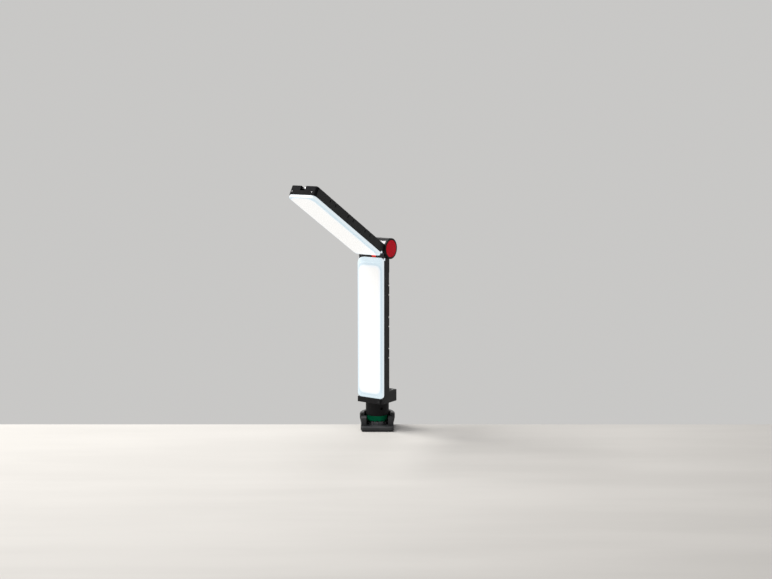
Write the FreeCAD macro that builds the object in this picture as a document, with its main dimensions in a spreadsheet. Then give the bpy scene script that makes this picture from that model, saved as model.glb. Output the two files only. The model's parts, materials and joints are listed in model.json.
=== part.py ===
"""A folding LED work lamp on a bench clamp.

Two flat light panels are joined by a round hinge barrel. The lower panel stands on a round neck that
turns in a bench clamp, and the upper panel folds forward or flat against the lower panel's back.

Frame: the origin is on the contact face of the upper jaw, on the axis of the swivel. +Z is up, the jaw
points along -Y, and the edge of the bench runs along X. Lengths are in millimetres, angles in degrees.
"""

import FreeCAD, Part
import math
import os

import Sketcher
from FreeCAD import Placement, Rotation, Vector

doc = FreeCAD.newDocument("led_clamp_lamp")
sheet = doc.addObject("Spreadsheet::Sheet", "sizes")


class Size:
    """A size that knows its number and the sheet formula that gives it."""

    def __init__(self, number, formula):
        self.number = number
        self.formula = formula

    def __add__(self, other):
        return joined(self, "+", other, self.number + number_of(other))

    def __radd__(self, other):
        return joined(other, "+", self, number_of(other) + self.number)

    def __sub__(self, other):
        return joined(self, "-", other, self.number - number_of(other))

    def __rsub__(self, other):
        return joined(other, "-", self, number_of(other) - self.number)

    def __mul__(self, other):
        return joined(self, "*", other, self.number * number_of(other))

    def __rmul__(self, other):
        return joined(other, "*", self, number_of(other) * self.number)

    def __truediv__(self, other):
        return joined(self, "/", other, self.number / number_of(other))

    def __neg__(self):
        return Size(-self.number, "(0 - %s)" % self.formula)


def number_of(value):
    return value.number if isinstance(value, Size) else float(value)


def formula_of(value):
    return value.formula if isinstance(value, Size) else repr(float(value))


def joined(left, sign, right, number):
    return Size(number, "(%s %s %s)" % (formula_of(left), sign, formula_of(right)))


def size(alias, number):
    """A driving size: one cell of the sheet, named by its alias."""
    size.row += 1
    sheet.set("A%d" % size.row, alias)
    sheet.set("B%d" % size.row, str(number))
    sheet.setAlias("B%d" % size.row, alias)
    return Size(float(number), "sizes." + alias)


size.row = 0
zero = Size(0.0, "0")

# Shared by several pieces
overrun = size("overrun", 1.0)
joint_gap = size("joint_gap", 0.3)
running_gap = size("running_gap", 0.06)
face_gap = size("face_gap", 0.1)

# How the lamp stands in the photographed pose
head_yaw = 34.7
arm_tilt = 59.8

# Light panels
panel_width = size("panel_width", 42.0)
housing_depth = size("housing_depth", 13.3)
fold_gap = size("fold_gap", 0.7)
diffuser_depth = size("diffuser_depth", 4.8)
lower_panel_length = size("lower_panel_length", 196.0)
upper_panel_length = size("upper_panel_length", 173.0)
hinge_to_panel = size("hinge_to_panel", 12.0)
housing_wall = size("housing_wall", 2.2)
housing_edge_radius = size("housing_edge_radius", 0.8)
panel_end_wall = size("panel_end_wall", 7.0)
groove_pitch = size("groove_pitch", 44.0)
groove_pair_gap = size("groove_pair_gap", 13.0)
groove_start = size("groove_start", 51.0)
groove_width = size("groove_width", 1.6)
groove_depth = size("groove_depth", 1.2)
side_groove_depth = size("side_groove_depth", 0.9)
side_groove_reach = size("side_groove_reach", 6.6)
groove_pairs = 3
back_recess_start = size("back_recess_start", 33.0)
back_recess_height = size("back_recess_height", 15.0)
back_recess_depth = size("back_recess_depth", 1.1)

# Diffusers and what is behind them
diffuser_corner = size("diffuser_corner", 5.2)
diffuser_edge = size("diffuser_edge", 1.6)
diffuser_wall = size("diffuser_wall", 1.8)
board_thickness = size("board_thickness", 1.6)
board_depth = size("board_depth", 1.8)
board_side_gap = size("board_side_gap", 0.5)
reflector_thickness = size("reflector_thickness", 1.2)
reflector_hole = size("reflector_hole", 4.2)
led_width = size("led_width", 2.8)
led_height = size("led_height", 0.8)
led_column_gap = size("led_column_gap", 17.0)
led_rows = 11

# Chin and rear box under the lower panel
chin_height = size("chin_height", 7.5)
chin_edge_radius = size("chin_edge_radius", 1.0)
chin_slot_width = size("chin_slot_width", 1.6)
chin_slot_depth = size("chin_slot_depth", 1.2)
chin_slot_edge = size("chin_slot_edge", 1.2)
rear_box_height = size("rear_box_height", 16.0)
rear_box_back = size("rear_box_back", 17.4)
rear_cover_thickness = size("rear_cover_thickness", 2.4)
rear_lug_length = size("rear_lug_length", 3.5)
rear_lug_width = size("rear_lug_width", 5.0)
rear_lug_height = size("rear_lug_height", 5.2)

# Power button and its switch
button_x = size("button_x", 14.8)
button_radius = size("button_radius", 2.5)
button_bore = size("button_bore", 2.8)
button_proud = size("button_proud", 0.3)
button_flange_radius = size("button_flange_radius", 3.3)
button_flange_thickness = size("button_flange_thickness", 0.9)
button_travel = size("button_travel", 0.7)
switch_width = size("switch_width", 6.0)
switch_depth = size("switch_depth", 3.4)
switch_plunger_radius = size("switch_plunger_radius", 1.2)
switch_plunger_length = size("switch_plunger_length", 0.7)

# Charging socket and its flap
control_board_width = size("control_board_width", 34.0)
control_board_thickness = size("control_board_thickness", 1.2)
control_board_level = size("control_board_level", 4.7)
port_width = size("port_width", 9.0)
port_height = size("port_height", 3.2)
port_length = size("port_length", 7.4)
port_wall = size("port_wall", 0.4)
port_tongue_width = size("port_tongue_width", 6.4)
port_tongue_height = size("port_tongue_height", 0.8)
flap_width = size("flap_width", 14.0)
flap_height = size("flap_height", 5.9)
flap_thickness = size("flap_thickness", 1.25)
flap_foot = size("flap_foot", 0.8)
flap_pivot_radius = size("flap_pivot_radius", 0.6)

# Battery
battery_width = size("battery_width", 30.0)
battery_thickness = size("battery_thickness", 5.6)
battery_length = size("battery_length", 120.0)
battery_start = size("battery_start", 15.0)
battery_edge_radius = size("battery_edge_radius", 1.2)

# Hinge barrel
barrel_radius = size("barrel_radius", 14.3)
knuckle_width = size("knuckle_width", 13.0)
cheek_gap = size("cheek_gap", 0.7)
cheek_relief = size("cheek_relief", 0.4)
band_width = size("band_width", 7.6)
band_depth = size("band_depth", 1.2)
band_offset = size("band_offset", 1.2)
pin_radius = size("pin_radius", 4.0)
pin_bore = size("pin_bore", 2.2)
pin_head_radius = size("pin_head_radius", 7.0)
pin_head_thickness = size("pin_head_thickness", 2.6)
cheek_recess_radius = size("cheek_recess_radius", 9.0)
cheek_recess_depth = size("cheek_recess_depth", 5.0)
disc_spring_thickness = size("disc_spring_thickness", 1.2)
nut_thickness = size("nut_thickness", 2.4)
washer_radius = size("washer_radius", 12.0)
rim_width = size("rim_width", 2.4)
rim_length = size("rim_length", 2.5)
cap_length = size("cap_length", 2.8)
cap_edge_radius = size("cap_edge_radius", 0.4)
cap_lip_width = size("cap_lip_width", 1.6)
cap_dish_depth = size("cap_dish_depth", 0.4)
cap_spigot_length = size("cap_spigot_length", 1.2)
lug_width = size("lug_width", 12.4)
lug_depth = size("lug_depth", 6.5)
lug_setback = size("lug_setback", 2.65)
lug_reach = size("lug_reach", 28.0)

# Tip of the upper panel
end_cap_thickness = size("end_cap_thickness", 4.0)
end_edge_radius = size("end_edge_radius", 3.0)
end_wall = size("end_wall", 9.0)
end_screw_place = size("end_screw_place", 16.0)
end_screw_head_radius = size("end_screw_head_radius", 1.4)
end_screw_setback = size("end_screw_setback", 4.6)
notch_offset = size("notch_offset", 1.2)
notch_width = size("notch_width", 8.0)
notch_depth = size("notch_depth", 6.7)
notch_length = size("notch_length", 10.0)
bar_radius = size("bar_radius", 1.2)
bar_length = size("bar_length", 14.0)
bar_depth = size("bar_depth", 2.6)
roller_radius = size("roller_radius", 1.7)
roller_length = size("roller_length", 2.0)
roller_place = size("roller_place", 1.5)

# Neck and swivel
neck_height = size("neck_height", 18.3)
neck_radius = size("neck_radius", 16.2)
neck_floor = size("neck_floor", 3.0)
neck_inner_radius = size("neck_inner_radius", 12.8)
neck_top_ring = size("neck_top_ring", 6.0)
neck_top_bore = size("neck_top_bore", 8.5)
neck_edge_radius = size("neck_edge_radius", 0.6)
neck_screw_place = size("neck_screw_place", 11.5)
set_screw_radius = size("set_screw_radius", 2.0)
set_screw_recess = size("set_screw_recess", 0.8)
set_screw_height = size("set_screw_height", 10.0)
set_screw_turn = 56.7
spigot_radius = size("spigot_radius", 9.0)
spigot_groove_radius = size("spigot_groove_radius", 7.6)
spigot_flange_radius = size("spigot_flange_radius", 12.4)
spigot_flange_thickness = size("spigot_flange_thickness", 2.0)
spigot_bore = size("spigot_bore", 3.2)
spigot_screw_place = size("spigot_screw_place", 10.7)
swivel_washer_thickness = size("swivel_washer_thickness", 0.8)
swivel_washer_setback = size("swivel_washer_setback", 0.2)
bush_height = size("bush_height", 8.0)
bush_radius = size("bush_radius", 14.2)
bush_tooth_height = size("bush_tooth_height", 1.4)
bush_tooth_depth = size("bush_tooth_depth", 3.4)
bush_teeth = 13
bush_tooth_turn = 6.9
bush_tooth_half_turn = 6.3
collar_height = size("collar_height", 4.2)
collar_radius = size("collar_radius", 13.7)
collar_rib_radius = size("collar_rib_radius", 0.9)
collar_ribs = 13
collar_rib_turn = -4.5

# Clamp body
jaw_pad_thickness = size("jaw_pad_thickness", 2.0)
jaw_pad_inset = size("jaw_pad_inset", 1.2)
jaw_pad_groove_width = size("jaw_pad_groove_width", 1.2)
jaw_pad_groove_depth = size("jaw_pad_groove_depth", 0.5)
jaw_pad_groove_pitch = size("jaw_pad_groove_pitch", 5.2)
jaw_pad_grooves = 4
slab_width = size("slab_width", 45.6)
slab_front = size("slab_front", 30.0)
slab_thickness = size("slab_thickness", 4.2)
slab_corner_radius = size("slab_corner_radius", 4.0)
slab_edge = size("slab_edge", 0.8)
block_width = size("block_width", 45.0)
block_front = size("block_front", 20.0)
block_height = size("block_height", 11.0)
block_edge_radius = size("block_edge_radius", 1.2)
well_gap = size("well_gap", 1.2)
spine_front = size("spine_front", 17.0)
spine_thickness = size("spine_thickness", 12.0)
spine_width = size("spine_width", 26.0)
spine_corner_radius = size("spine_corner_radius", 6.0)
spine_rim = size("spine_rim", 3.0)
web_recess = size("web_recess", 3.0)
throat_depth = size("throat_depth", 60.0)
screw_place = size("screw_place", 8.0)
boss_radius = size("boss_radius", 9.5)
boss_proud = size("boss_proud", 2.0)

# Release grips
bay_front = size("bay_front", 5.2)
bay_back = size("bay_back", 15.8)
bay_floor = size("bay_floor", 1.8)
grip_radius = size("grip_radius", 24.7)
grip_inner_radius = size("grip_inner_radius", 18.9)
grip_top = size("grip_top", 21.7)
grip_edge_width = size("grip_edge_width", 1.8)
grip_edge_height = size("grip_edge_height", 2.4)
grip_foot_width = size("grip_foot_width", 1.2)
grip_foot_height = size("grip_foot_height", 6.0)
grip_flute_radius = size("grip_flute_radius", 1.4)
grip_flute_depth = size("grip_flute_depth", 1.2)
grip_flute_turns = (-1, 7.5, 16, 24.5, 33)
grip_end_flutes = 3
grip_end_flute_radius = size("grip_end_flute_radius", 0.85)
grip_end_flute_depth = size("grip_end_flute_depth", 0.75)
grip_end_flute_place = size("grip_end_flute_place", 19.8)
grip_end_flute_pitch = size("grip_end_flute_pitch", 2.0)
grip_travel = size("grip_travel", 2.3)
latch_thickness = size("latch_thickness", 0.9)
latch_width = size("latch_width", 20.6)
latch_bite = size("latch_bite", 1.0)
latch_reach = size("latch_reach", 9.9)
latch_root = size("latch_root", 21.0)
grip_spring_radius = size("grip_spring_radius", 1.7)
grip_spring_wall = size("grip_spring_wall", 0.5)
grip_spring_pocket = size("grip_spring_pocket", 3.2)
grip_spring_level = size("grip_spring_level", 15.0)

# Clamp screw
bench_thickness = size("bench_thickness", 30.0)
pressure_rubber_radius = size("pressure_rubber_radius", 13.0)
pressure_rubber_thickness = size("pressure_rubber_thickness", 2.0)
pressure_pad_radius = size("pressure_pad_radius", 14.0)
pressure_pad_thickness = size("pressure_pad_thickness", 4.0)
pressure_hub_radius = size("pressure_hub_radius", 8.0)
pressure_hub_height = size("pressure_hub_height", 6.0)
socket_radius = size("socket_radius", 3.5)
clip_thickness = size("clip_thickness", 1.0)
ball_radius = size("ball_radius", 3.0)
screw_neck_radius = size("screw_neck_radius", 2.0)
screw_radius = size("screw_radius", 4.9)
screw_length = size("screw_length", 76.0)
insert_radius = size("insert_radius", 7.0)
insert_flange_radius = size("insert_flange_radius", 8.6)
insert_flange_thickness = size("insert_flange_thickness", 1.5)
knob_radius = size("knob_radius", 15.0)
knob_height = size("knob_height", 22.0)
knob_drop = size("knob_drop", 24.0)
knob_scallop_radius = size("knob_scallop_radius", 4.0)
knob_scallop_depth = size("knob_scallop_depth", 2.2)
knob_scallops = 8
knob_edge_radius = size("knob_edge_radius", 1.5)

# Small screws
small_screw_radius = size("small_screw_radius", 1.25)
small_head_radius = size("small_head_radius", 2.2)
small_head_height = size("small_head_height", 1.6)
screw_hole_gap = size("screw_hole_gap", 0.1)
thin_screw_radius = size("thin_screw_radius", 0.9)
thin_head_radius = size("thin_head_radius", 1.7)
thin_head_height = size("thin_head_height", 1.1)

# Levels and half widths worked out from the sizes
panel_half = panel_width / 2
housing_back = fold_gap / 2
housing_front = housing_back + housing_depth
panel_front = housing_front + diffuser_depth
inner_half = panel_half - housing_wall
inner_back = housing_back + housing_wall
slab_half = slab_width / 2
slab_top = jaw_pad_thickness + slab_thickness
block_half = block_width / 2
block_top = slab_top + block_height
bay_level = slab_top + bay_floor
collar_top = slab_top + collar_height
bush_top = collar_top + bush_height
neck_bottom = bush_top + swivel_washer_thickness
chin_bottom = neck_bottom + neck_height
chin_top = chin_bottom + chin_height
box_top = chin_bottom + rear_box_height
panel_top = chin_top + lower_panel_length
hinge_level = panel_top + hinge_to_panel
arm_start = hinge_level + hinge_to_panel
arm_end = arm_start + upper_panel_length
well_radius = bush_radius + well_gap
spine_back = spine_front + spine_thickness
spine_half = spine_width / 2
arm_top = -throat_depth
arm_bottom = arm_top - spine_thickness
knuckle_half = knuckle_width / 2
cheek_start = knuckle_half + cheek_gap
latch_low = bay_level + 3 * face_gap
latch_high = latch_low + latch_thickness + face_gap


def turned(radius, degrees):
    """The place at a radius and an angle, as two sizes."""
    x = Size(radius.number * math.cos(math.radians(degrees)), "(%s * cos(%r))" % (radius.formula, degrees))
    y = Size(radius.number * math.sin(math.radians(degrees)), "(%s * sin(%r))" % (radius.formula, degrees))
    return x, y


# Outlines for sketches

def polygon(points):
    """A closed outline through the given corners."""

    def draw(sketch):
        first = len(sketch.Geometry)
        corners = [Vector(number_of(x), number_of(y), 0) for x, y in points]
        for start, end in zip(corners, corners[1:] + corners[:1]):
            sketch.addGeometry(Part.LineSegment(start, end))
        count = len(points)
        for i in range(count):
            following = first + (i + 1) % count
            sketch.addConstraint(Sketcher.Constraint("Coincident", first + i, 2, following, 1))
        for i, (x, y) in enumerate(points):
            bind(sketch, "DistanceX", (-1, 1, first + i, 1), x)
            bind(sketch, "DistanceY", (-1, 1, first + i, 1), y)

    return draw


def rectangle(left, right, low, high):
    return polygon([(left, low), (right, low), (right, high), (left, high)])


def circle(radius, x=zero, y=zero):
    """A round outline."""

    def draw(sketch):
        centre = Vector(number_of(x), number_of(y), 0)
        index = sketch.addGeometry(Part.Circle(centre, Vector(0, 0, 1), radius.number))
        bind(sketch, "Radius", (index,), radius)
        bind(sketch, "DistanceX", (-1, 1, index, 3), x)
        bind(sketch, "DistanceY", (-1, 1, index, 3), y)

    return draw


def bind(sketch, kind, places, value):
    """A sketch dimension that follows a size."""
    index = sketch.addConstraint(Sketcher.Constraint(kind, *places, number_of(value)))
    sketch.setExpression("Constraints[%d]" % index, formula_of(value))


# Tests that pick edges

def along(axis, keep=lambda middle: True):
    """Picks straight edges that run along an axis and whose middle passes the test."""

    def picks(edge):
        if edge.Curve.TypeId != "Part::GeomLine":
            return False
        parallel = edge.tangentAt(edge.FirstParameter).cross(axis).Length < parallel_limit
        return parallel and keep(edge.CenterOfMass)

    return picks


def near(place, value):
    return abs(place - number_of(value)) < overrun.number * near_share


parallel_limit = 0.001
near_share = 0.01
along_x = Vector(1, 0, 0)
along_y = Vector(0, 1, 0)
along_z = Vector(0, 0, 1)
plane_roles = {"xy": "XY_Plane", "xz": "XZ_Plane", "yz": "YZ_Plane"}


class Piece:
    """One sub-part made as a body, feature by feature."""

    def __init__(self, label):
        self.body = doc.addObject("PartDesign::Body", label)

    def sketch(self, plane, outlines, low, high):
        """A sketch on one of the body's own planes, at the start of the span from low to high."""
        sketch = self.body.newObject("Sketcher::SketchObject", "outline")
        role = plane_roles[plane]
        support = next(item for item in self.body.Origin.OriginFeatures if item.Role == role)
        sketch.AttachmentSupport = [(support, "")]
        sketch.MapMode = "FlatFace"
        start = -high if plane == "xz" else low
        sketch.setExpression("AttachmentOffset.Base.z", formula_of(start))
        for draw in outlines:
            draw(sketch)
        return sketch

    def extrude(self, kind, plane, outlines, low, high):
        feature = self.body.newObject(kind, kind.split("::")[1].lower())
        feature.Profile = self.sketch(plane, outlines, low, high)
        feature.setExpression("Length", formula_of(high - low))
        return feature

    def pad(self, plane, outline, low, high):
        """Adds the outline's prism over a span of the axis across the plane."""
        feature = self.extrude("PartDesign::Pad", plane, [outline], low, high)
        doc.recompute()
        return feature

    def pocket(self, plane, outlines, low, high):
        """Cuts the outlines' prisms over a span, and makes sure that something was cut."""
        before = self.body.Shape.Volume
        outlines = outlines if isinstance(outlines, list) else [outlines]
        feature = self.extrude("PartDesign::Pocket", plane, outlines, low, high)
        feature.Reversed = True
        doc.recompute()
        if not self.body.Shape.Volume < before:
            raise ValueError("%s: a pocket cuts nothing" % self.body.Label)
        return feature

    def turn(self, points):
        """A solid of revolution about Z from a half outline of radius and height."""
        feature = self.body.newObject("PartDesign::Revolution", "turned")
        feature.Profile = self.sketch("xz", [polygon(points)], zero, zero)
        feature.ReferenceAxis = (feature.Profile[0], ["V_Axis"])
        feature.Angle = 360
        doc.recompute()
        return feature

    def around(self, feature, count):
        """Repeats a feature round the Z axis."""
        pattern = self.body.newObject("PartDesign::PolarPattern", "pattern")
        pattern.Originals = [feature]
        axis = next(item for item in self.body.Origin.OriginFeatures if item.Role == "Z_Axis")
        pattern.Axis = (axis, [""])
        pattern.Angle = 360
        pattern.Occurrences = count
        self.body.Tip = pattern
        doc.recompute()

    def soften(self, kind, amount, picks):
        """A fillet or chamfer on the picked edges of the shape so far."""
        edges = self.body.Shape.Edges
        names = ["Edge%d" % (i + 1) for i, edge in enumerate(edges) if picks(edge)]
        if not names:
            raise ValueError("%s: no edge to soften" % self.body.Label)
        base = self.body.Tip
        feature = self.body.newObject(kind, kind.split("::")[1].lower())
        feature.Base = (base, names)
        feature.setExpression("Radius" if kind.endswith("Fillet") else "Size", formula_of(amount))
        self.body.Tip = feature
        doc.recompute()
        if "Invalid" in feature.State:
            raise ValueError("%s: the edges could not be softened" % self.body.Label)

    def fillet(self, radius, picks):
        self.soften("PartDesign::Fillet", radius, picks)

    def chamfer(self, width, picks):
        self.soften("PartDesign::Chamfer", width, picks)


# Part primitives and booleans

def place(item, x, y, z):
    item.setExpression("Placement.Base.x", formula_of(x))
    item.setExpression("Placement.Base.y", formula_of(y))
    item.setExpression("Placement.Base.z", formula_of(z))


def block(name, x, y, z):
    """A box over three spans."""
    item = doc.addObject("Part::Box", name)
    item.setExpression("Length", formula_of(x[1] - x[0]))
    item.setExpression("Width", formula_of(y[1] - y[0]))
    item.setExpression("Height", formula_of(z[1] - z[0]))
    place(item, x[0], y[0], z[0])
    return item


def rod(name, axis, radius, span, at=(zero, zero)):
    """A cylinder along an axis over a span, at a place across that axis."""
    item = doc.addObject("Part::Cylinder", name)
    item.setExpression("Radius", formula_of(radius))
    item.setExpression("Height", formula_of(span[1] - span[0]))
    if axis == "x":
        item.Placement = Placement(Vector(), Rotation(along_y, 90))
        place(item, span[0], at[0], at[1])
    elif axis == "y":
        item.Placement = Placement(Vector(), Rotation(along_x, -90))
        place(item, at[0], span[0], at[1])
    else:
        place(item, at[0], at[1], span[0])
    return item


def ball(name, radius, x, y, z):
    item = doc.addObject("Part::Sphere", name)
    item.setExpression("Radius", formula_of(radius))
    place(item, x, y, z)
    return item


def fuse(name, parts):
    item = doc.addObject("Part::MultiFuse", name)
    item.Shapes = parts
    item.Refine = True
    return item


def cut(name, base, tools):
    item = doc.addObject("Part::Cut", name)
    item.Base = base
    item.Tool = tools[0] if len(tools) == 1 else fuse(name + "_tool", tools)
    return item


def common(name, base, tool):
    item = doc.addObject("Part::Common", name)
    item.Base = base
    item.Tool = tool
    return item


def group(name, parts):
    """Several like pieces in one node, each a solid of its own."""
    item = doc.addObject("Part::Compound", name)
    item.Links = parts
    return item


def ring(name, axis, outer, inner, span, at=(zero, zero)):
    """A plain ring."""
    hole = rod(name + "_hole", axis, inner, (span[0] - overrun, span[1] + overrun), at)
    return cut(name, rod(name + "_disc", axis, outer, span, at), [hole])


def screw(name, axis, places, head, shank, head_radius=small_head_radius, shank_radius=small_screw_radius):
    """Like screws in one node, each a head and a shank over their spans at each place."""
    screws = []
    for i, at in enumerate(places):
        head_part = rod("%s_head_%d" % (name, i), axis, head_radius, head, at)
        shank_part = rod("%s_shank_%d" % (name, i), axis, shank_radius, shank, at)
        screws.append(fuse("%s_%d" % (name, i), [head_part, shank_part]))
    return group(name, screws)


def pair(place_x, other):
    """Two places that mirror each other across X."""
    return [(-place_x, other), (place_x, other)]


# The pieces of the clamp body

collar_screw_place = (collar_radius + latch_width / 2) / 2
collar_screw_places = [(zero, -collar_screw_place), (zero, collar_screw_place)]
collar_screw_top = collar_top + bush_height / 2


def clamp_frame():
    """The jaw, its block round the swivel, the spine behind the bench edge and the lower arm."""
    piece = Piece("clamp_frame")
    piece.pad("xy", rectangle(-slab_half, slab_half, -slab_front, spine_front), jaw_pad_thickness, slab_top)
    piece.fillet(slab_corner_radius, along(along_z, lambda middle: near(middle.y, -slab_front)))
    piece.chamfer(slab_edge, lambda edge: near(edge.CenterOfMass.z, slab_top))
    piece.pad("xy", rectangle(-block_half, block_half, -block_front, spine_front), slab_top - slab_edge, block_top)
    piece.fillet(block_edge_radius, along(along_z, lambda middle: near(middle.y, -block_front)))
    piece.pocket("xy", circle(well_radius), slab_top, block_top)
    window_half = well_radius - joint_gap
    window = rectangle(-window_half, window_half, -block_front - overrun, zero)
    piece.pocket("xy", window, slab_top, block_top)
    bay_side = block_half + overrun
    piece.pocket("xy", rectangle(-bay_side, bay_side, -bay_front, bay_back), bay_level, block_top)
    latch_half = latch_width / 2 + joint_gap
    latch_side = latch_root + joint_gap
    piece.pocket("xy", rectangle(-latch_side, latch_side, -latch_half, latch_half), bay_level, collar_top)
    piece.pad("xy", rectangle(-spine_half, spine_half, spine_front, spine_back), arm_bottom, block_top)
    screw_y = -screw_place
    piece.pad("xy", rectangle(-spine_half, spine_half, screw_y, spine_front), arm_bottom, arm_top)
    piece.pad("xy", circle(spine_half, zero, screw_y), arm_bottom, arm_top)
    piece.fillet(spine_corner_radius, along(along_x, lambda middle: near(middle.y, spine_back)))
    boss_span = (arm_bottom - boss_proud, arm_top + boss_proud)
    piece.pad("xy", circle(boss_radius, zero, screw_y), *boss_span)
    piece.pocket("xy", circle(insert_radius, zero, screw_y), *boss_span)
    counterbore_top = jaw_pad_thickness + small_head_height
    for x, y in collar_screw_places:
        head_hole = circle(small_head_radius + screw_hole_gap, x, y)
        piece.pocket("xy", head_hole, jaw_pad_thickness, counterbore_top)
        piece.pocket("xy", circle(small_screw_radius + screw_hole_gap, x, y), counterbore_top, slab_top)
    web = polygon([
        (spine_front + spine_rim, slab_top),
        (spine_front + spine_rim, arm_top - spine_rim),
        (screw_y + boss_radius + spine_rim, arm_top - spine_rim),
        (screw_y + boss_radius + spine_rim, arm_bottom + spine_rim),
        (spine_back - spine_rim, arm_bottom + spine_rim),
        (spine_back - spine_rim, slab_top),
    ])
    web_half = spine_half - web_recess
    piece.pocket("yz", web, web_half, spine_half)
    piece.pocket("yz", web, -spine_half, -web_half)
    return piece.body


def upper_jaw_pad():
    """The rubber facing of the upper jaw, with grip grooves in front of the swivel."""
    piece = Piece("upper_jaw_pad")
    half = slab_half - jaw_pad_inset
    front = slab_front - jaw_pad_inset
    back = spine_front - jaw_pad_inset
    piece.pad("xy", rectangle(-half, half, -front, back), zero, jaw_pad_thickness)
    rounding = slab_corner_radius - jaw_pad_inset
    piece.fillet(rounding, along(along_z, lambda middle: near(middle.y, -front)))
    grooves = []
    for i in range(jaw_pad_grooves):
        start = -front + jaw_pad_groove_pitch * (i + 1)
        grooves.append(rectangle(start, start + jaw_pad_groove_width, zero, jaw_pad_groove_depth))
    piece.pocket("yz", grooves, -half, half)
    return piece.body


def ribbed_collar():
    """The ribbed ring at the foot of the swivel, open at its sides for the latch plates."""
    piece = Piece("ribbed_collar")
    piece.pad("xy", circle(collar_radius), slab_top, collar_top)
    rib_place = turned(collar_radius, collar_rib_turn)
    rib = piece.pad("xy", circle(collar_rib_radius, *rib_place), slab_top, collar_top)
    piece.around(rib, collar_ribs)
    piece.pocket("xy", circle(spigot_radius + joint_gap), slab_top, collar_top)
    side = collar_radius + overrun
    half = latch_width / 2 + joint_gap
    piece.pocket("yz", rectangle(-half, half, latch_low - face_gap, collar_top), -side, side)
    holes = [circle(small_screw_radius + screw_hole_gap, x, y) for x, y in collar_screw_places]
    piece.pocket("xy", holes, slab_top, collar_top)
    return piece.body


def swivel_bush():
    """The green bearing ring that the neck turns on, with teeth round its lower edge."""
    piece = Piece("swivel_bush")
    body_bottom = collar_top + bush_tooth_height
    piece.pad("xy", circle(bush_radius), body_bottom, bush_top)
    reach = bush_radius - bush_tooth_depth
    outer = bush_radius - joint_gap
    start = bush_tooth_turn - bush_tooth_half_turn
    end = bush_tooth_turn + bush_tooth_half_turn
    corners = [turned(reach, start), turned(outer, start), turned(outer, end), turned(reach, end)]
    tooth = piece.pad("xy", polygon(corners), collar_top, body_bottom)
    piece.around(tooth, bush_teeth)
    piece.pocket("xy", circle(spigot_radius + running_gap), collar_top, bush_top)
    holes = [circle(small_screw_radius + screw_hole_gap, x, y) for x, y in collar_screw_places]
    piece.pocket("xy", holes, collar_top, collar_screw_top)
    return piece.body


def collar_screws():
    """Two screws that hold the collar and the bush from the underside of the jaw."""
    head = (jaw_pad_thickness + face_gap, jaw_pad_thickness + small_head_height)
    return screw("collar_screws", "z", collar_screw_places, head, (head[1], collar_screw_top - face_gap))


def thread_insert():
    """The flanged threaded insert in the lower arm's boss."""
    low = arm_bottom - boss_proud
    high = arm_top + boss_proud
    at = (zero, -screw_place)
    sleeve = rod("insert_sleeve", "z", insert_radius, (low, high), at)
    flange = rod("insert_flange", "z", insert_flange_radius, (low - insert_flange_thickness, low), at)
    solid = fuse("insert_solid", [sleeve, flange])
    bore_span = (low - insert_flange_thickness - overrun, high + overrun)
    bore = rod("insert_bore", "z", screw_radius + running_gap, bore_span, at)
    return cut("thread_insert", solid, [bore])


# The release grips and their latch plates

def side_box(name, side, near_x, far_x, y, z):
    """A box on one side of the swivel, from its near to its far distance from the axis."""
    x = (near_x, far_x) if side > 0 else (-far_x, -near_x)
    return block(name, x, y, z)


def side_rod(name, side, radius, near_x, far_x, y, z):
    span = (near_x, far_x) if side > 0 else (-far_x, -near_x)
    return rod(name, "x", radius, span, (y, z))


def latch_level(side):
    """The two latch plates pass over each other, the left one below."""
    low = latch_low if side < 0 else latch_high
    return low, low + latch_thickness


def release_grip(label, side):
    """A fluted grip that is squeezed in towards the swivel to free the head."""
    low = bay_level + joint_gap
    front = -bay_front + joint_gap
    span = (low - overrun, grip_top + overrun)
    piece = Piece(label + "_round")
    piece.turn([
        (zero, low),
        (grip_radius - grip_foot_width, low),
        (grip_radius, low + grip_foot_height),
        (grip_radius, grip_top - grip_edge_height),
        (grip_radius - grip_edge_width / 3, grip_top - grip_edge_height / 3),
        (grip_radius - grip_edge_width, grip_top),
        (zero, grip_top),
    ])
    part = side_box(label + "_part", side, zero, grip_radius + overrun, (front, bay_back - joint_gap), span)
    segment = common(label + "_segment", piece.body, part)
    tools = [rod(label + "_inside", "z", grip_inner_radius, span)]
    flute_place = grip_radius + grip_flute_radius - grip_flute_depth
    flutes = [(grip_flute_radius, turned(flute_place, turn)) for turn in grip_flute_turns]
    end_y = front - grip_end_flute_radius + grip_end_flute_depth
    for i in range(grip_end_flutes):
        flutes.append((grip_end_flute_radius, (grip_end_flute_place + grip_end_flute_pitch * i, end_y)))
    for i, (radius, (x, y)) in enumerate(flutes):
        at = (x if side > 0 else -x, y)
        tools.append(rod("%s_flute_%d" % (label, i), "z", radius, span, at))
    width = (-latch_width / 2, latch_width / 2)
    near_x = latch_root - grip_radius / 2
    tools.append(side_box(label + "_slot", side, near_x, latch_root, width, latch_level(side)))
    spring_end = grip_inner_radius + grip_spring_pocket
    bore = grip_spring_radius + joint_gap
    level = (zero, grip_spring_level)
    tools.append(side_rod(label + "_pocket", side, bore, bush_radius, spring_end, *level))
    return cut(label, segment, tools)


def latch_plate(label, side):
    """A steel plate with a hole whose far edge bites in the spigot's groove."""
    width = (-latch_width / 2, latch_width / 2)
    level = latch_level(side)
    plate = side_box(label + "_plate", side, -latch_reach, latch_root, width, level)
    hole_radius = spigot_radius + joint_gap
    far_centre = hole_radius - (spigot_groove_radius + joint_gap)
    near_centre = grip_travel
    cutter_span = (level[0] - overrun, level[1] + overrun)
    tools = []
    for i, centre in enumerate((far_centre, near_centre)):
        x = centre if side > 0 else -centre
        tools.append(rod("%s_hole_%d" % (label, i), "z", hole_radius, cutter_span, (x, zero)))
    return cut(label, plate, tools)


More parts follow.
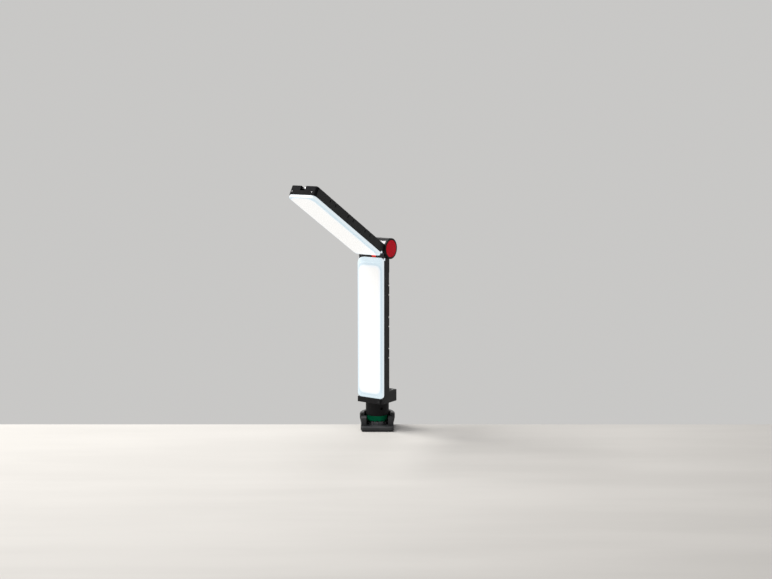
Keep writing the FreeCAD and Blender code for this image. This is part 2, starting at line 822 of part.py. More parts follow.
def grip_spring(label, side):
    """The return spring in a grip's pocket, drawn as long as it is when the grip is squeezed."""
    start = bush_radius + face_gap + grip_travel
    end = grip_inner_radius + grip_spring_pocket
    outside = side_rod(label + "_outside", side, grip_spring_radius, start, end, zero, grip_spring_level)
    inner = grip_spring_radius - grip_spring_wall
    inside = side_rod(label + "_inside", side, inner, start - overrun, end + overrun, zero, grip_spring_level)
    return cut(label, outside, [inside])


# The clamp screw and its pressure pad

rubber_top = -bench_thickness
rubber_bottom = rubber_top - pressure_rubber_thickness
pad_bottom = rubber_bottom - pressure_pad_thickness
hub_bottom = pad_bottom - pressure_hub_height
ball_level = hub_bottom + clip_thickness + ball_radius + joint_gap
screw_at = (zero, -screw_place)
knob_top = arm_bottom - boss_proud - insert_flange_thickness - knob_drop
knob_bottom = knob_top - knob_height
screw_end = hub_bottom - overrun - screw_length


def pressure_pad_rubber():
    """The rubber disc that meets the underside of the bench."""
    return rod("pressure_pad_rubber", "z", pressure_rubber_radius, (rubber_bottom, rubber_top), screw_at)


def pressure_pad():
    """The swivelling disc on the end of the clamp screw."""
    disc = rod("pad_disc", "z", pressure_pad_radius, (pad_bottom, rubber_bottom), screw_at)
    hub = rod("pad_hub", "z", pressure_hub_radius, (hub_bottom, pad_bottom), screw_at)
    solid = fuse("pad_solid", [disc, hub])
    socket_top = ball_level + ball_radius + joint_gap
    socket = rod("pad_socket", "z", socket_radius, (hub_bottom - overrun, socket_top), screw_at)
    return cut("pressure_pad", solid, [socket])


def pad_clip():
    """The ring that keeps the ball of the screw in the pad."""
    inner = screw_neck_radius + joint_gap
    return ring("pad_clip", "z", socket_radius, inner, (hub_bottom, hub_bottom + clip_thickness), screw_at)


def clamp_screw():
    """The clamp screw with its ball end."""
    neck_start = hub_bottom - overrun
    tip = ball("screw_ball", ball_radius, zero, -screw_place, ball_level)
    neck = rod("screw_neck", "z", screw_neck_radius, (neck_start, ball_level), screw_at)
    shaft = rod("screw_shaft", "z", screw_radius, (screw_end, neck_start), screw_at)
    return fuse("clamp_screw", [tip, neck, shaft])


def clamp_knob():
    """The scalloped knob that turns the clamp screw."""
    piece = Piece("clamp_knob")
    piece.pad("xy", circle(knob_radius), knob_bottom, knob_top)
    place_x = knob_radius + knob_scallop_radius - knob_scallop_depth
    scallop = piece.pocket("xy", circle(knob_scallop_radius, place_x), knob_bottom, knob_top)
    piece.around(scallop, knob_scallops)
    ends = (knob_bottom.number, knob_top.number)
    piece.chamfer(knob_edge_radius, lambda edge: any(near(edge.CenterOfMass.z, end) for end in ends))
    piece.pocket("xy", circle(screw_radius), screw_end, knob_top)
    piece.body.setExpression("Placement.Base.y", formula_of(-screw_place))
    return piece.body


# The swivel and the neck

neck_screw_places = pair(neck_screw_place, zero)
spigot_screw_places = [turned(spigot_screw_place, degrees) for degrees in (30, 150, 270)]
neck_floor_top = neck_bottom + neck_floor
spigot_top = neck_floor_top + spigot_flange_thickness


def swivel_spigot():
    """The turned spigot that the head stands on, with a groove for the latch plates."""
    piece = Piece("swivel_spigot")
    bottom = slab_top + joint_gap
    groove_low = latch_low - face_gap
    piece.turn([
        (spigot_bore, bottom),
        (spigot_radius, bottom),
        (spigot_radius, groove_low),
        (spigot_groove_radius, groove_low),
        (spigot_groove_radius, collar_top),
        (spigot_radius, collar_top),
        (spigot_radius, neck_floor_top),
        (spigot_flange_radius, neck_floor_top),
        (spigot_flange_radius, spigot_top),
        (spigot_bore, spigot_top),
    ])
    holes = [circle(thin_screw_radius + screw_hole_gap, x, y) for x, y in spigot_screw_places]
    piece.pocket("xy", holes, neck_floor_top, spigot_top)
    return piece.body


def swivel_washer():
    """The thin washer between the bush and the neck."""
    outer = bush_radius - swivel_washer_setback
    return ring("swivel_washer", "z", outer, spigot_radius + running_gap, (bush_top, neck_bottom))


def neck():
    """The round neck that carries the lower panel."""
    piece = Piece("neck_turned")
    ring_bottom = chin_bottom - neck_top_ring
    piece.turn([
        (spigot_radius, neck_bottom),
        (neck_radius, neck_bottom),
        (neck_radius, chin_bottom),
        (neck_top_bore, chin_bottom),
        (neck_top_bore, ring_bottom),
        (neck_inner_radius, ring_bottom),
        (neck_inner_radius, neck_floor_top),
        (spigot_radius, neck_floor_top),
    ])
    piece.fillet(neck_edge_radius, lambda edge: near(edge.BoundBox.ZMax, neck_bottom)
                 and near(edge.BoundBox.XMax, neck_radius))
    holes = [circle(small_screw_radius, x, y) for x, y in neck_screw_places]
    piece.pocket("xy", holes, ring_bottom, chin_bottom)
    holes = [circle(thin_screw_radius, x, y) for x, y in spigot_screw_places]
    piece.pocket("xy", holes, neck_bottom + neck_floor / 3, neck_floor_top)
    tool = radial_rod("neck_hole", set_screw_radius, neck_inner_radius - overrun, neck_radius + overrun)
    return cut("neck", piece.body, [tool])


def radial_rod(name, radius, start, end):
    """A rod that points away from the neck's axis at the set screw's place."""
    item = doc.addObject("Part::Cylinder", name)
    item.setExpression("Radius", formula_of(radius))
    item.setExpression("Height", formula_of(end - start))
    degrees = set_screw_turn - 90
    item.Placement = Placement(Vector(), Rotation(along_z, degrees) * Rotation(along_y, 90))
    x, y = turned(start, degrees)
    place(item, x, y, neck_bottom + set_screw_height)
    return item


def neck_set_screw():
    """The screw in the side of the neck."""
    end = neck_radius - set_screw_recess
    return group("neck_set_screw", [radial_rod("set_screw_rod", set_screw_radius, neck_inner_radius, end)])


def spigot_screws():
    """Three screws that hold the spigot's flange to the neck's floor."""
    head = (spigot_top, spigot_top + thin_head_height)
    shank = (neck_bottom + neck_floor / 3, spigot_top)
    return screw("spigot_screws", "z", spigot_screw_places, head, shank, thin_head_radius, thin_screw_radius)


def neck_screws():
    """Two screws that hold the housing's floor to the neck."""
    floor = chin_bottom + housing_wall
    return screw("neck_screws", "z", neck_screw_places, (floor, floor + small_head_height),
                 (chin_bottom - neck_top_ring + overrun, floor))


# Housing features that both panels share

def groove_levels(up):
    """The levels of the grooves, which come in pairs, counted from the hinge along a panel."""
    levels = []
    for pair_index in range(groove_pairs):
        for offset in (zero, groove_pair_gap):
            middle = hinge_level + up * (groove_start + groove_pitch * pair_index + offset)
            levels.append((middle - groove_width / 2, middle + groove_width / 2))
    return levels


def cut_grooves(piece, up):
    """Cuts the grooves across a panel's back, and shallower ones part of the way over its sides."""
    back = -housing_back
    across = [rectangle(back - groove_depth, back + overrun, low, high) for low, high in groove_levels(up)]
    piece.pocket("yz", across, -panel_half, panel_half)
    floor = panel_half - side_groove_depth
    side = panel_half + overrun
    over = []
    for low, high in groove_levels(up):
        over.append(rectangle(floor, side, low, high))
        over.append(rectangle(-side, -floor, low, high))
    piece.pocket("xz", over, back - side_groove_reach, back)


def relieve(piece, centre_radius, side_radius):
    """Cuts the housing's end to the hinge barrel, in the middle and at both sides."""
    edge = cheek_start - cheek_gap / 2
    side = panel_half + overrun
    for radius, start, end in (
        (side_radius, -side, -edge),
        (centre_radius, -edge, edge),
        (side_radius, edge, side),
    ):
        piece.pocket("yz", circle(radius, zero, hinge_level), start, end)


# The lower panel

board_front = inner_back + battery_thickness + board_depth
board_back = board_front - board_thickness
chin_middle = chin_bottom + chin_height / 2
floor_top = chin_bottom + housing_wall
cavity_low = chin_top + housing_wall
cavity_high = panel_top - panel_end_wall
box_roof = box_top - housing_wall
box_inner_back = rear_box_back - rear_cover_thickness
box_screw_place = inner_half - rear_lug_width / 2
box_screw_y = box_inner_back - rear_lug_length / 2
box_screw_places = pair(box_screw_place, box_screw_y)
cheek_screw_place = (cheek_start + panel_half) / 2
cheek_screw_y = -(board_back - small_head_radius - joint_gap)
cheek_screw_places = pair(cheek_screw_place, cheek_screw_y)


def lower_housing():
    """The lower panel's shell with the chin and the rear box over the neck."""
    piece = Piece("lower_housing")
    outline = polygon([
        (-housing_front, chin_bottom),
        (rear_box_back, chin_bottom),
        (rear_box_back, box_top),
        (-housing_back, box_top),
        (-housing_back, panel_top),
        (-housing_front, panel_top),
    ])
    piece.pad("yz", outline, -panel_half, panel_half)
    piece.fillet(housing_edge_radius, along(along_z, lambda middle: middle.y > -housing_front.number / 2))
    cavity = rectangle(-inner_half, inner_half, cavity_low, cavity_high)
    piece.pocket("xz", cavity, -housing_front, -inner_back)
    box_cavity = rectangle(-inner_half, inner_half, floor_top, box_roof)
    piece.pocket("xz", box_cavity, -housing_front + housing_wall, rear_box_back)
    relieve(piece, barrel_radius + cheek_relief, barrel_radius)
    cut_grooves(piece, -1)
    recess_top = hinge_level - back_recess_start
    recess = rectangle(-housing_back - back_recess_depth, -housing_back + overrun,
                       recess_top - back_recess_height, recess_top)
    piece.pocket("yz", recess, -panel_half, panel_half)
    button_hole = circle(button_flange_radius + joint_gap, button_x, chin_middle)
    piece.pocket("xz", button_hole, -housing_front, -housing_front + housing_wall)
    holes = [circle(small_screw_radius + screw_hole_gap, x, y) for x, y in neck_screw_places]
    piece.pocket("xy", holes, chin_bottom, floor_top)
    holes = [circle(thin_screw_radius + screw_hole_gap, x, y) for x, y in box_screw_places]
    piece.pocket("xy", holes, box_roof, box_top)
    heads = [circle(thin_head_radius + screw_hole_gap, x, y) for x, y in box_screw_places]
    piece.pocket("xy", heads, box_top - thin_head_height, box_top)
    holes = [circle(small_screw_radius + screw_hole_gap, x, y) for x, y in cheek_screw_places]
    piece.pocket("xy", holes, cavity_high, panel_top)
    return piece.body


def chin_cover():
    """The front of the chin, with the button's hole and a narrow upright slot beside it."""
    piece = Piece("chin_cover")
    piece.pad("xz", rectangle(-panel_half, panel_half, chin_bottom, chin_top), -panel_front, -housing_front)
    piece.fillet(chin_edge_radius, along(along_z, lambda middle: near(middle.y, -panel_front)))
    piece.pocket("xz", circle(button_bore, button_x, chin_middle), -panel_front, -housing_front)
    slot_right = panel_half - chin_slot_edge
    slot = rectangle(slot_right - chin_slot_width, slot_right, chin_bottom, chin_top)
    piece.pocket("xz", slot, -panel_front, -panel_front + chin_slot_depth)
    return piece.body


def rear_box_cover():
    """The plate that closes the rear box, with a window and a recess for the socket's flap."""
    piece = Piece("rear_box_cover")
    half = inner_half - face_gap
    low = floor_top + face_gap
    high = box_roof - face_gap
    piece.pad("xz", rectangle(-half, half, low, high), box_inner_back, rear_box_back)
    lug_low = high - rear_lug_height
    for side in (-1, 1):
        inside = side * (half - rear_lug_width)
        outside = side * half
        edges = (inside, outside) if side > 0 else (outside, inside)
        piece.pad("xz", rectangle(*edges, lug_low, high), box_inner_back - rear_lug_length, box_inner_back)
    recess_half = flap_width / 2 + joint_gap
    recess_front = rear_box_back - flap_thickness - joint_gap
    recess = rectangle(-recess_half, recess_half, low, flap_low + flap_height + joint_gap)
    piece.pocket("xz", recess, recess_front, rear_box_back)
    window_half = port_width / 2 + joint_gap
    window = rectangle(-window_half, window_half, port_low - face_gap, port_low + port_height + face_gap)
    piece.pocket("xz", window, box_inner_back, recess_front)
    holes = [circle(thin_screw_radius, x, y) for x, y in box_screw_places]
    piece.pocket("xy", holes, lug_low, high)
    return piece.body


def box_screws():
    """Two screws in the top of the rear box that hold its cover."""
    head = (box_top - thin_head_height, box_top)
    shank = (box_roof - face_gap - rear_lug_height + overrun, head[0])
    return screw("box_screws", "z", box_screw_places, head, shank, thin_head_radius, thin_screw_radius)


def diffuser(label, low, high):
    """A clear white cover with rounded corners, hollow behind."""
    piece = Piece(label)
    piece.pad("xz", rectangle(-panel_half, panel_half, low, high), -panel_front, -housing_front)
    piece.fillet(diffuser_corner, along(along_y))
    piece.fillet(diffuser_edge, lambda edge: near(edge.BoundBox.YMax, -panel_front))
    side = diffuser_corner / 2
    hollow = rectangle(-panel_half + side, panel_half - side, low + side, high - side)
    piece.pocket("xz", hollow, -panel_front + diffuser_wall, -housing_front)
    return piece.body


board_half = inner_half - board_side_gap


def light_engine(prefix, low, high):
    """The reflector tray, the light board and its rows of LEDs behind a diffuser."""
    board_face = -board_front
    board = block(prefix + "_board", (-board_half, board_half), (board_face, board_face + board_thickness),
                  (low, high))
    row_pitch = (high - low) / led_rows
    leds = []
    holes = []
    for row in range(led_rows):
        level = low + row_pitch * (row + 0.5)
        for column, side in enumerate((-1, 1)):
            middle = side * led_column_gap / 2
            name = "%s_led_%d_%d" % (prefix, row, column)
            half = led_width / 2
            leds.append(block(name, (middle - half, middle + half), (board_face - led_height, board_face),
                              (level - half, level + half)))
            half = reflector_hole / 2
            holes.append(block(name + "_hole", (middle - half, middle + half),
                               (board_face - reflector_thickness - overrun, board_face + overrun),
                               (level - half, level + half)))
    tray = block(prefix + "_tray", (-board_half, board_half), (board_face - reflector_thickness, board_face),
                 (low, high))
    return [
        group(prefix + "_led_board", [board]),
        group(prefix + "_leds", leds),
        cut(prefix + "_reflector", tray, holes),
    ]


def battery():
    """The flat battery pack behind the lower light board."""
    piece = Piece("battery")
    low = cavity_low + battery_start
    half = battery_width / 2
    back = -inner_back - face_gap
    piece.pad("xz", rectangle(-half, half, low, low + battery_length), back - battery_thickness, back)
    piece.fillet(battery_edge_radius, along(along_z))
    return piece.body


def power_button():
    """The round push button in the chin, with its flange behind the cover."""
    at = (button_x, chin_middle)
    flange_front = -housing_front + face_gap
    stem = rod("button_stem", "y", button_radius, (-panel_front - button_proud, flange_front), at)
    flange_span = (flange_front, flange_front + button_flange_thickness)
    flange = rod("button_flange", "y", button_flange_radius, flange_span, at)
    return fuse("power_button", [stem, flange])


board_level = floor_top + control_board_level
board_lead = -housing_front + housing_wall + switch_depth + joint_gap
port_low = board_level - port_height
flap_low = floor_top + flap_foot
flap_axis_y = rear_box_back - flap_thickness / 2
flap_axis_z = flap_low + flap_pivot_radius


def power_switch():
    """The push switch behind the button, on the front edge of the control board."""
    half = switch_width / 2
    body = block("switch_body", (button_x - half, button_x + half), (board_lead - switch_depth, board_lead),
                 (floor_top + face_gap, board_level + control_board_thickness))
    plunger_span = (board_lead - switch_depth - switch_plunger_length, board_lead - switch_depth)
    plunger = rod("switch_plunger", "y", switch_plunger_radius, plunger_span, (button_x, chin_middle))
    return fuse("power_switch", [body, plunger])


def control_board():
    """The charging and dimming board in the rear box."""
    half = control_board_width / 2
    back = box_inner_back - rear_lug_length - joint_gap
    level = (board_level, board_level + control_board_thickness)
    return group("control_board", [block("charging_board", (-half, half), (board_lead, back), level)])


def usb_port():
    """The charging socket under the control board, open to the back."""
    half = port_width / 2
    front = box_inner_back - port_length
    shell = block("port_shell", (-half, half), (front, box_inner_back), (port_low, board_level))
    inside = block("port_inside", (-half + port_wall, half - port_wall),
                   (front + 3 * port_wall, box_inner_back + overrun),
                   (port_low + port_wall, board_level - port_wall))
    tongue_half = port_tongue_width / 2
    middle = port_low + port_height / 2
    tongue = block("port_tongue", (-tongue_half, tongue_half), (front + port_wall, box_inner_back - port_wall),
                   (middle - port_tongue_height / 2, middle + port_tongue_height / 2))
    return fuse("usb_port", [cut("port_hollow", shell, [inside]), tongue])


def usb_flap():
    """The flap over the charging socket, which turns down about its lower edge."""
    half = flap_width / 2
    plate = block("flap_plate", (-half, half), (rear_box_back - flap_thickness, rear_box_back),
                  (flap_axis_z, flap_low + flap_height))
    knuckle = rod("flap_knuckle", "x", flap_thickness / 2, (-half, half), (flap_axis_y, flap_axis_z))
    return fuse("usb_flap", [plate, knuckle])


# The hinge

def hinge_cheek(label, side):
    """One outer part of the hinge barrel, fixed on the lower panel."""
    piece = Piece(label)
    span = (cheek_start, panel_half) if side > 0 else (-panel_half, -cheek_start)
    recess = (panel_half - cheek_recess_depth, panel_half)
    recess = recess if side > 0 else (-recess[1], -recess[0])
    foot = rectangle(-housing_front, -housing_back, panel_top, hinge_level)
    piece.pad("yz", circle(barrel_radius, zero, hinge_level), *span)
    piece.pad("yz", foot, *span)
    piece.pocket("yz", circle(pin_radius, zero, hinge_level), *span)
    piece.pocket("yz", circle(cheek_recess_radius, zero, hinge_level), *recess)
    hole = circle(small_screw_radius, side * cheek_screw_place, cheek_screw_y)
    piece.pocket("xy", hole, hinge_level - barrel_radius, panel_top + hinge_to_panel / 3)
    return piece.body


def cheek_screws():
    """Two screws from inside the lower panel up into the cheeks."""
    head = (cavity_high - small_head_height, cavity_high)
    shank = (cavity_high, panel_top + hinge_to_panel / 3 - face_gap)
    return screw("cheek_screws", "z", cheek_screw_places, head, shank)


def hinge_pin():
    """The hollow pin through both cheeks and the middle knuckle."""
    seat = panel_half - cheek_recess_depth
    at = (zero, hinge_level)
    end = seat + disc_spring_thickness + nut_thickness
    shank = rod("pin_shank", "x", pin_radius, (-seat, end), at)
    head = rod("pin_head", "x", pin_head_radius, (-seat - pin_head_thickness, -seat), at)
    bore = rod("pin_hole", "x", pin_bore, (-panel_half, panel_half), at)
    return cut("hinge_pin", fuse("pin_solid", [shank, head]), [bore])


def hinge_nut():
    """The six-sided nut on the hinge pin."""
    piece = Piece("hinge_nut")
    low = panel_half - cheek_recess_depth + disc_spring_thickness
    corners = []
    for i in range(6):
        y, z = turned(pin_head_radius, 60 * i)
        corners.append((y, hinge_level + z))
    piece.pad("yz", polygon(corners), low, low + nut_thickness)
    piece.pocket("yz", circle(pin_radius, zero, hinge_level), low, low + nut_thickness)
    return piece.body


def hinge_washers():
    """Friction washers beside the knuckle and the disc spring under the nut."""
    at = (zero, hinge_level)
    bore = pin_radius + running_gap
    start = knuckle_half + face_gap
    end = cheek_start - face_gap / 2
    seat = panel_half - cheek_recess_depth
    return group("hinge_washers", [
        ring("left_washer", "x", washer_radius, bore, (-end, -start), at),
        ring("right_washer", "x", washer_radius, bore, (start, end), at),
        ring("disc_spring", "x", pin_head_radius, bore, (seat, seat + disc_spring_thickness), at),
    ])


def hinge_rim(label, side):
    """The black rim at one end of the barrel."""
    span = (panel_half, panel_half + rim_length) if side > 0 else (-panel_half - rim_length, -panel_half)
    return ring(label, "x", barrel_radius, barrel_radius - rim_width, span, (zero, hinge_level))


def hinge_cap(label, side):
    """The red cap that closes one end of the barrel."""
    piece = Piece(label)
    radius = barrel_radius - rim_width - face_gap
    outer = panel_half + cap_length
    inner = panel_half - cap_spigot_length
    disc = (panel_half, outer) if side > 0 else (-outer, -panel_half)
    spigot = (inner, panel_half) if side > 0 else (-panel_half, -inner)
    piece.pad("yz", circle(radius, zero, hinge_level), *disc)
    piece.fillet(cap_edge_radius, lambda edge: near(edge.CenterOfMass.x, side * outer))
    piece.pad("yz", circle(cheek_recess_radius - face_gap, zero, hinge_level), *spigot)
    dish_floor = outer - cap_dish_depth
    dish = (dish_floor, outer) if side > 0 else (-outer, -dish_floor)
    piece.pocket("yz", circle(radius - cap_lip_width, zero, hinge_level), *dish)
    return piece.body


band_span = (band_offset - band_width / 2, band_offset + band_width / 2)


def band_front(name, inner, outer):
    """Half a ring round the barrel's middle, on the side of the upper panel's light."""
    band = ring(name + "_ring", "x", outer, inner, band_span, (zero, hinge_level))
    reach = barrel_radius + overrun
    front = block(name + "_front", band_span, (-reach, zero), (hinge_level - reach, hinge_level + reach))
    return common(name + "_half", band, front)


def hinge_knuckle():
    """The middle of the barrel and the lug that carries the upper panel, modelled upright."""
    piece = Piece("knuckle_barrel")
    piece.pad("yz", circle(barrel_radius, zero, hinge_level), -knuckle_half, knuckle_half)
    lug_half = lug_width / 2
    lug = rectangle(-lug_setback - lug_depth, -lug_setback, hinge_level, hinge_level + lug_reach)
    piece.pad("yz", lug, -lug_half, lug_half)
    bore = circle(pin_radius + running_gap, zero, hinge_level)
    piece.pocket("yz", bore, -knuckle_half, knuckle_half)
    holes = [circle(thin_screw_radius, x, z) for x, z in knuckle_screw_places]
    piece.pocket("xz", holes, -lug_setback - lug_depth, -lug_setback)
    seat = band_front("band_seat", barrel_radius - band_depth, barrel_radius + overrun)
    return cut("hinge_knuckle", piece.body, [cut("band_seat_open", seat, [band_lug("seat_lug")])])


def band_lug(name):
    """The room that the lug takes where it leaves the barrel."""
    return block(name, (-lug_width, lug_width), (-lug_setback - lug_depth, -lug_setback),
                 (hinge_level, hinge_level + lug_reach))


def hinge_band():
    """The red band let into the front of the barrel's middle, open where the lug leaves it."""
    band = band_front("band", barrel_radius - band_depth, barrel_radius)
    return cut("hinge_band", band, [band_lug("band_lug")])


# The upper panel, modelled upright over the hinge

lug_end = hinge_level + lug_reach
knuckle_screw_shares = (0.3, 0.8)
knuckle_screw_places = [(zero, arm_start + (lug_end - arm_start) * share) for share in knuckle_screw_shares]
arm_cavity_low = arm_start + panel_end_wall + overrun
cap_start = arm_end - end_cap_thickness
arm_cavity_high = cap_start - end_wall
end_screw_y = -housing_front + end_screw_setback
end_screw_places = [
    (-notch_offset - end_screw_place, end_screw_y),
    (-notch_offset + end_screw_place, end_screw_y),
]
bar_span = (-notch_offset - bar_length / 2, -notch_offset + bar_length / 2)
bar_at = (-housing_back - bar_depth, cap_start)
roller_middle = -notch_offset + roller_place
roller_span = (roller_middle - roller_length / 2, roller_middle + roller_length / 2)


def notch_tool(name, low, high):
    x = (-notch_offset - notch_width / 2, -notch_offset + notch_width / 2)
    return block(name, x, (-housing_back - notch_depth, zero), (low, high))


def upper_housing():
    """The upper panel's shell."""
    piece = Piece("upper_housing_body")
    outline = rectangle(-housing_front, -housing_back, arm_start, cap_start)
    piece.pad("yz", outline, -panel_half, panel_half)
    piece.fillet(housing_edge_radius, along(along_z, lambda middle: near(middle.y, -housing_back)))
    cavity = rectangle(-inner_half, inner_half, arm_cavity_low, arm_cavity_high)
    piece.pocket("xz", cavity, -housing_front, -inner_back)
    relieve(piece, barrel_radius, barrel_radius + cheek_relief)
    cut_grooves(piece, 1)
    lug_half = lug_width / 2 + face_gap
    slot = rectangle(-lug_half, lug_half, arm_start, arm_cavity_low + overrun)
    piece.pocket("xz", slot, -lug_setback - lug_depth - face_gap, -lug_setback + face_gap)
    holes = [circle(thin_screw_radius + screw_hole_gap, x, z) for x, z in knuckle_screw_places]
    piece.pocket("xz", holes, -inner_back, -housing_back)
    heads = [circle(thin_head_radius + screw_hole_gap, x, z) for x, z in knuckle_screw_places]
    piece.pocket("xz", heads, -housing_back - thin_head_height, -housing_back)
    holes = [circle(thin_screw_radius, x, y) for x, y in end_screw_places]
    piece.pocket("xy", holes, arm_cavity_high, cap_start)
    notch_low = cap_start + end_cap_thickness - notch_length
    bar_hole = rod("housing_bar_hole", "x", bar_radius, bar_span, bar_at)
    notch = notch_tool("housing_notch", notch_low, cap_start + overrun)
    return cut("upper_housing", piece.body, [notch, bar_hole])


def upper_end_cap():
    """The plate at the tip of the upper panel, with the hanging notch."""
    piece = Piece("end_cap_body")
    outline = rectangle(-housing_front, -housing_back, cap_start, arm_end)
    piece.pad("yz", outline, -panel_half, panel_half)
    piece.fillet(end_edge_radius, along(along_y, lambda middle: near(middle.z, arm_end)))
    piece.fillet(housing_edge_radius, lambda edge: near(edge.BoundBox.YMin, -housing_back)
                 and not near(edge.BoundBox.ZMax, cap_start))
    holes = [circle(thin_screw_radius + screw_hole_gap, x, y) for x, y in end_screw_places]
    piece.pocket("xy", holes, cap_start, arm_end)
    heads = [circle(end_screw_head_radius + screw_hole_gap, x, y) for x, y in end_screw_places]
    piece.pocket("xy", heads, arm_end - small_head_height, arm_end)
    bar_hole = rod("cap_bar_hole", "x", bar_radius, bar_span, bar_at)
    notch = notch_tool("cap_notch", cap_start - overrun, arm_end + overrun)
    return cut("upper_end_cap", piece.body, [notch, bar_hole])


def hanging_bar():
    """The steel bar across the notch, from which the lamp can hang."""
    return group("hanging_bar", [rod("bar_rod", "x", bar_radius, bar_span, bar_at)])


def bar_roller():
    """The small roller on the bar."""
    return ring("bar_roller", "x", roller_radius, bar_radius + running_gap, roller_span, bar_at)


def end_screws():
    """Two screws in the end cap."""
    head = (arm_end - small_head_height, arm_end)
    shank = (arm_cavity_high + overrun, head[0])
    return screw("end_screws", "z", end_screw_places, head, shank, end_screw_head_radius, thin_screw_radius)


def knuckle_screws():
    """Two screws through the upper panel's back into the lug."""
    head = (-housing_back - thin_head_height, -housing_back)
    shank = (-lug_setback - lug_depth + overrun, head[0])
    return screw("knuckle_screws", "y", knuckle_screw_places, head, shank, thin_head_radius, thin_screw_radius)


# Which pieces move together

clamp_parts = [
    clamp_frame(),
    upper_jaw_pad(),
    ribbed_collar(),
    swivel_bush(),
    collar_screws(),
    thread_insert(),
    release_grip("release_grip_left", -1),
    release_grip("release_grip_right", 1),
    latch_plate("latch_plate_left", -1),
    latch_plate("latch_plate_right", 1),
    grip_spring("grip_spring_left", -1),
    grip_spring("grip_spring_right", 1),
    pressure_pad_rubber(),
    pressure_pad(),
    pad_clip(),
    clamp_screw(),
    clamp_knob(),
]
head_parts = [
    swivel_spigot(),
    swivel_washer(),
    neck(),
    neck_set_screw(),
    spigot_screws(),
    neck_screws(),
    lower_housing(),
    chin_cover(),
    rear_box_cover(),
    box_screws(),
    diffuser("lower_diffuser", chin_top, panel_top),
    *light_engine("lower", cavity_low + joint_gap, cavity_high - joint_gap),
    battery(),
    power_button(),
    power_switch(),
    control_board(),
    usb_port(),
    usb_flap(),
    hinge_cheek("hinge_cheek_left", -1),
    hinge_cheek("hinge_cheek_right", 1),
    cheek_screws(),
    hinge_pin(),
    hinge_nut(),
    hinge_washers(),
    hinge_rim("hinge_rim_left", -1),
    hinge_rim("hinge_rim_right", 1),
    hinge_cap("hinge_cap_left", -1),
    hinge_cap("hinge_cap_right", 1),
]
arm_parts = [
    hinge_knuckle(),
    hinge_band(),
    upper_housing(),
    upper_end_cap(),
    hanging_bar(),
    bar_roller(),
    end_screws(),
    knuckle_screws(),
    diffuser("upper_diffuser", arm_start, arm_end),
    *light_engine("upper", lug_end + joint_gap, arm_cavity_high - joint_gap),
]

doc.recompute()
hinge_centre = Vector(0, 0, hinge_level.number)
head_turn = Placement(Vector(), Rotation(along_z, -head_yaw))
arm_turn = Placement(Vector(), Rotation(along_x, arm_tilt), hinge_centre)
for item in head_parts:
    item.Placement = head_turn * item.Placement
for item in arm_parts:
    item.Placement = head_turn * arm_turn * item.Placement
doc.recompute()

for item in doc.Objects:
    if "Invalid" in item.State or "Error" in item.State:
        raise ValueError("%s failed: %s" % (item.Label, item.State))
nodes = clamp_parts + head_parts + arm_parts
for item in nodes:
    if item.Shape.isNull() or not item.Shape.isValid():
        raise ValueError("%s has no valid shape" % item.Label)

os.makedirs("parts", exist_ok=True)
for item in nodes:
    item.Shape.exportStep(os.path.join("parts", item.Label + ".step"))
print("wrote %d sub-parts" % len(nodes))
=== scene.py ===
"""Looks for the folding LED work lamp: finishes, fine pieces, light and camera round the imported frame.

Pieces are worked out in millimetres, upright, in the place of the body that carries them: the clamp as it
stands, the head before its turn on the swivel, and the arm before its tilt about the hinge barrel. A stand
matrix then puts them where they are in the frame.
"""

import json
import math

import bpy
import numpy as np
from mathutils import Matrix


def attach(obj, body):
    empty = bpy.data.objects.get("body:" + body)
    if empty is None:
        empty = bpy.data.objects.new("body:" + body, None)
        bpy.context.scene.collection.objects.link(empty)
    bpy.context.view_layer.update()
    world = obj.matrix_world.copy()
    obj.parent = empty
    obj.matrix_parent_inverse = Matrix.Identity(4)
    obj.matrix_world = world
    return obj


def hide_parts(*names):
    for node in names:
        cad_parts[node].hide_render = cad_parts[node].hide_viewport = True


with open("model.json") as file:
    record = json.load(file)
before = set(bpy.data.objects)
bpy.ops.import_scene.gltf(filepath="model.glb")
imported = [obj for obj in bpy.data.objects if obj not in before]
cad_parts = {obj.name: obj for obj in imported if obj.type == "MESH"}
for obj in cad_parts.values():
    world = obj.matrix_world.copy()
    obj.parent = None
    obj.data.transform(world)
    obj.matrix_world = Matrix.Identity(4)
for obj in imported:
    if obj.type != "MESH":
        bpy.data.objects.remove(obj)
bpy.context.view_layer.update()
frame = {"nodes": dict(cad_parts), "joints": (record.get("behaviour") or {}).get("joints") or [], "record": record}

MM = 0.001
nodes = frame["nodes"]
joints = {joint["name"]: joint for joint in frame["joints"]}


# Where the three parts of the lamp stand

def turn(axis, degrees, centre=(0, 0, 0)):
    """A turn about an axis through a centre, as a 4 by 4 matrix."""
    axis = np.array(axis, float) / np.linalg.norm(axis)
    angle = math.radians(degrees)
    cross = np.array([[0, -axis[2], axis[1]], [axis[2], 0, -axis[0]], [-axis[1], axis[0], 0]])
    matrix = np.eye(4)
    matrix[:3, :3] = np.eye(3) + math.sin(angle) * cross + (1 - math.cos(angle)) * cross @ cross
    matrix[:3, 3] = np.array(centre) - matrix[:3, :3] @ np.array(centre)
    return matrix


fold = joints["panel_fold"]
hinge_level = fold["pos_m"][2] / MM
folded_flat = 180.0
head_yaw = math.degrees(math.atan2(fold["axis"][1], fold["axis"][0]))
arm_tilt = -fold["range_deg"][0] - folded_flat
on_clamp = np.eye(4)
on_head = turn((0, 0, 1), head_yaw)
on_arm = on_head @ turn((1, 0, 0), arm_tilt, (0, 0, hinge_level))
stands = {"clamp": on_clamp, "head": on_head, "arm": on_arm, "button": on_head, "flap": on_head,
          "grip_left": on_clamp, "grip_right": on_clamp, "pressure_foot": on_clamp, "screw": on_clamp}
bodies = frame["record"]["behaviour"]["bodies"]
body_of = {node: body for body, members in bodies.items() for node in members}
slot_of = {part["node"]: part["material_slot"] for part in frame["record"]["subparts"]}


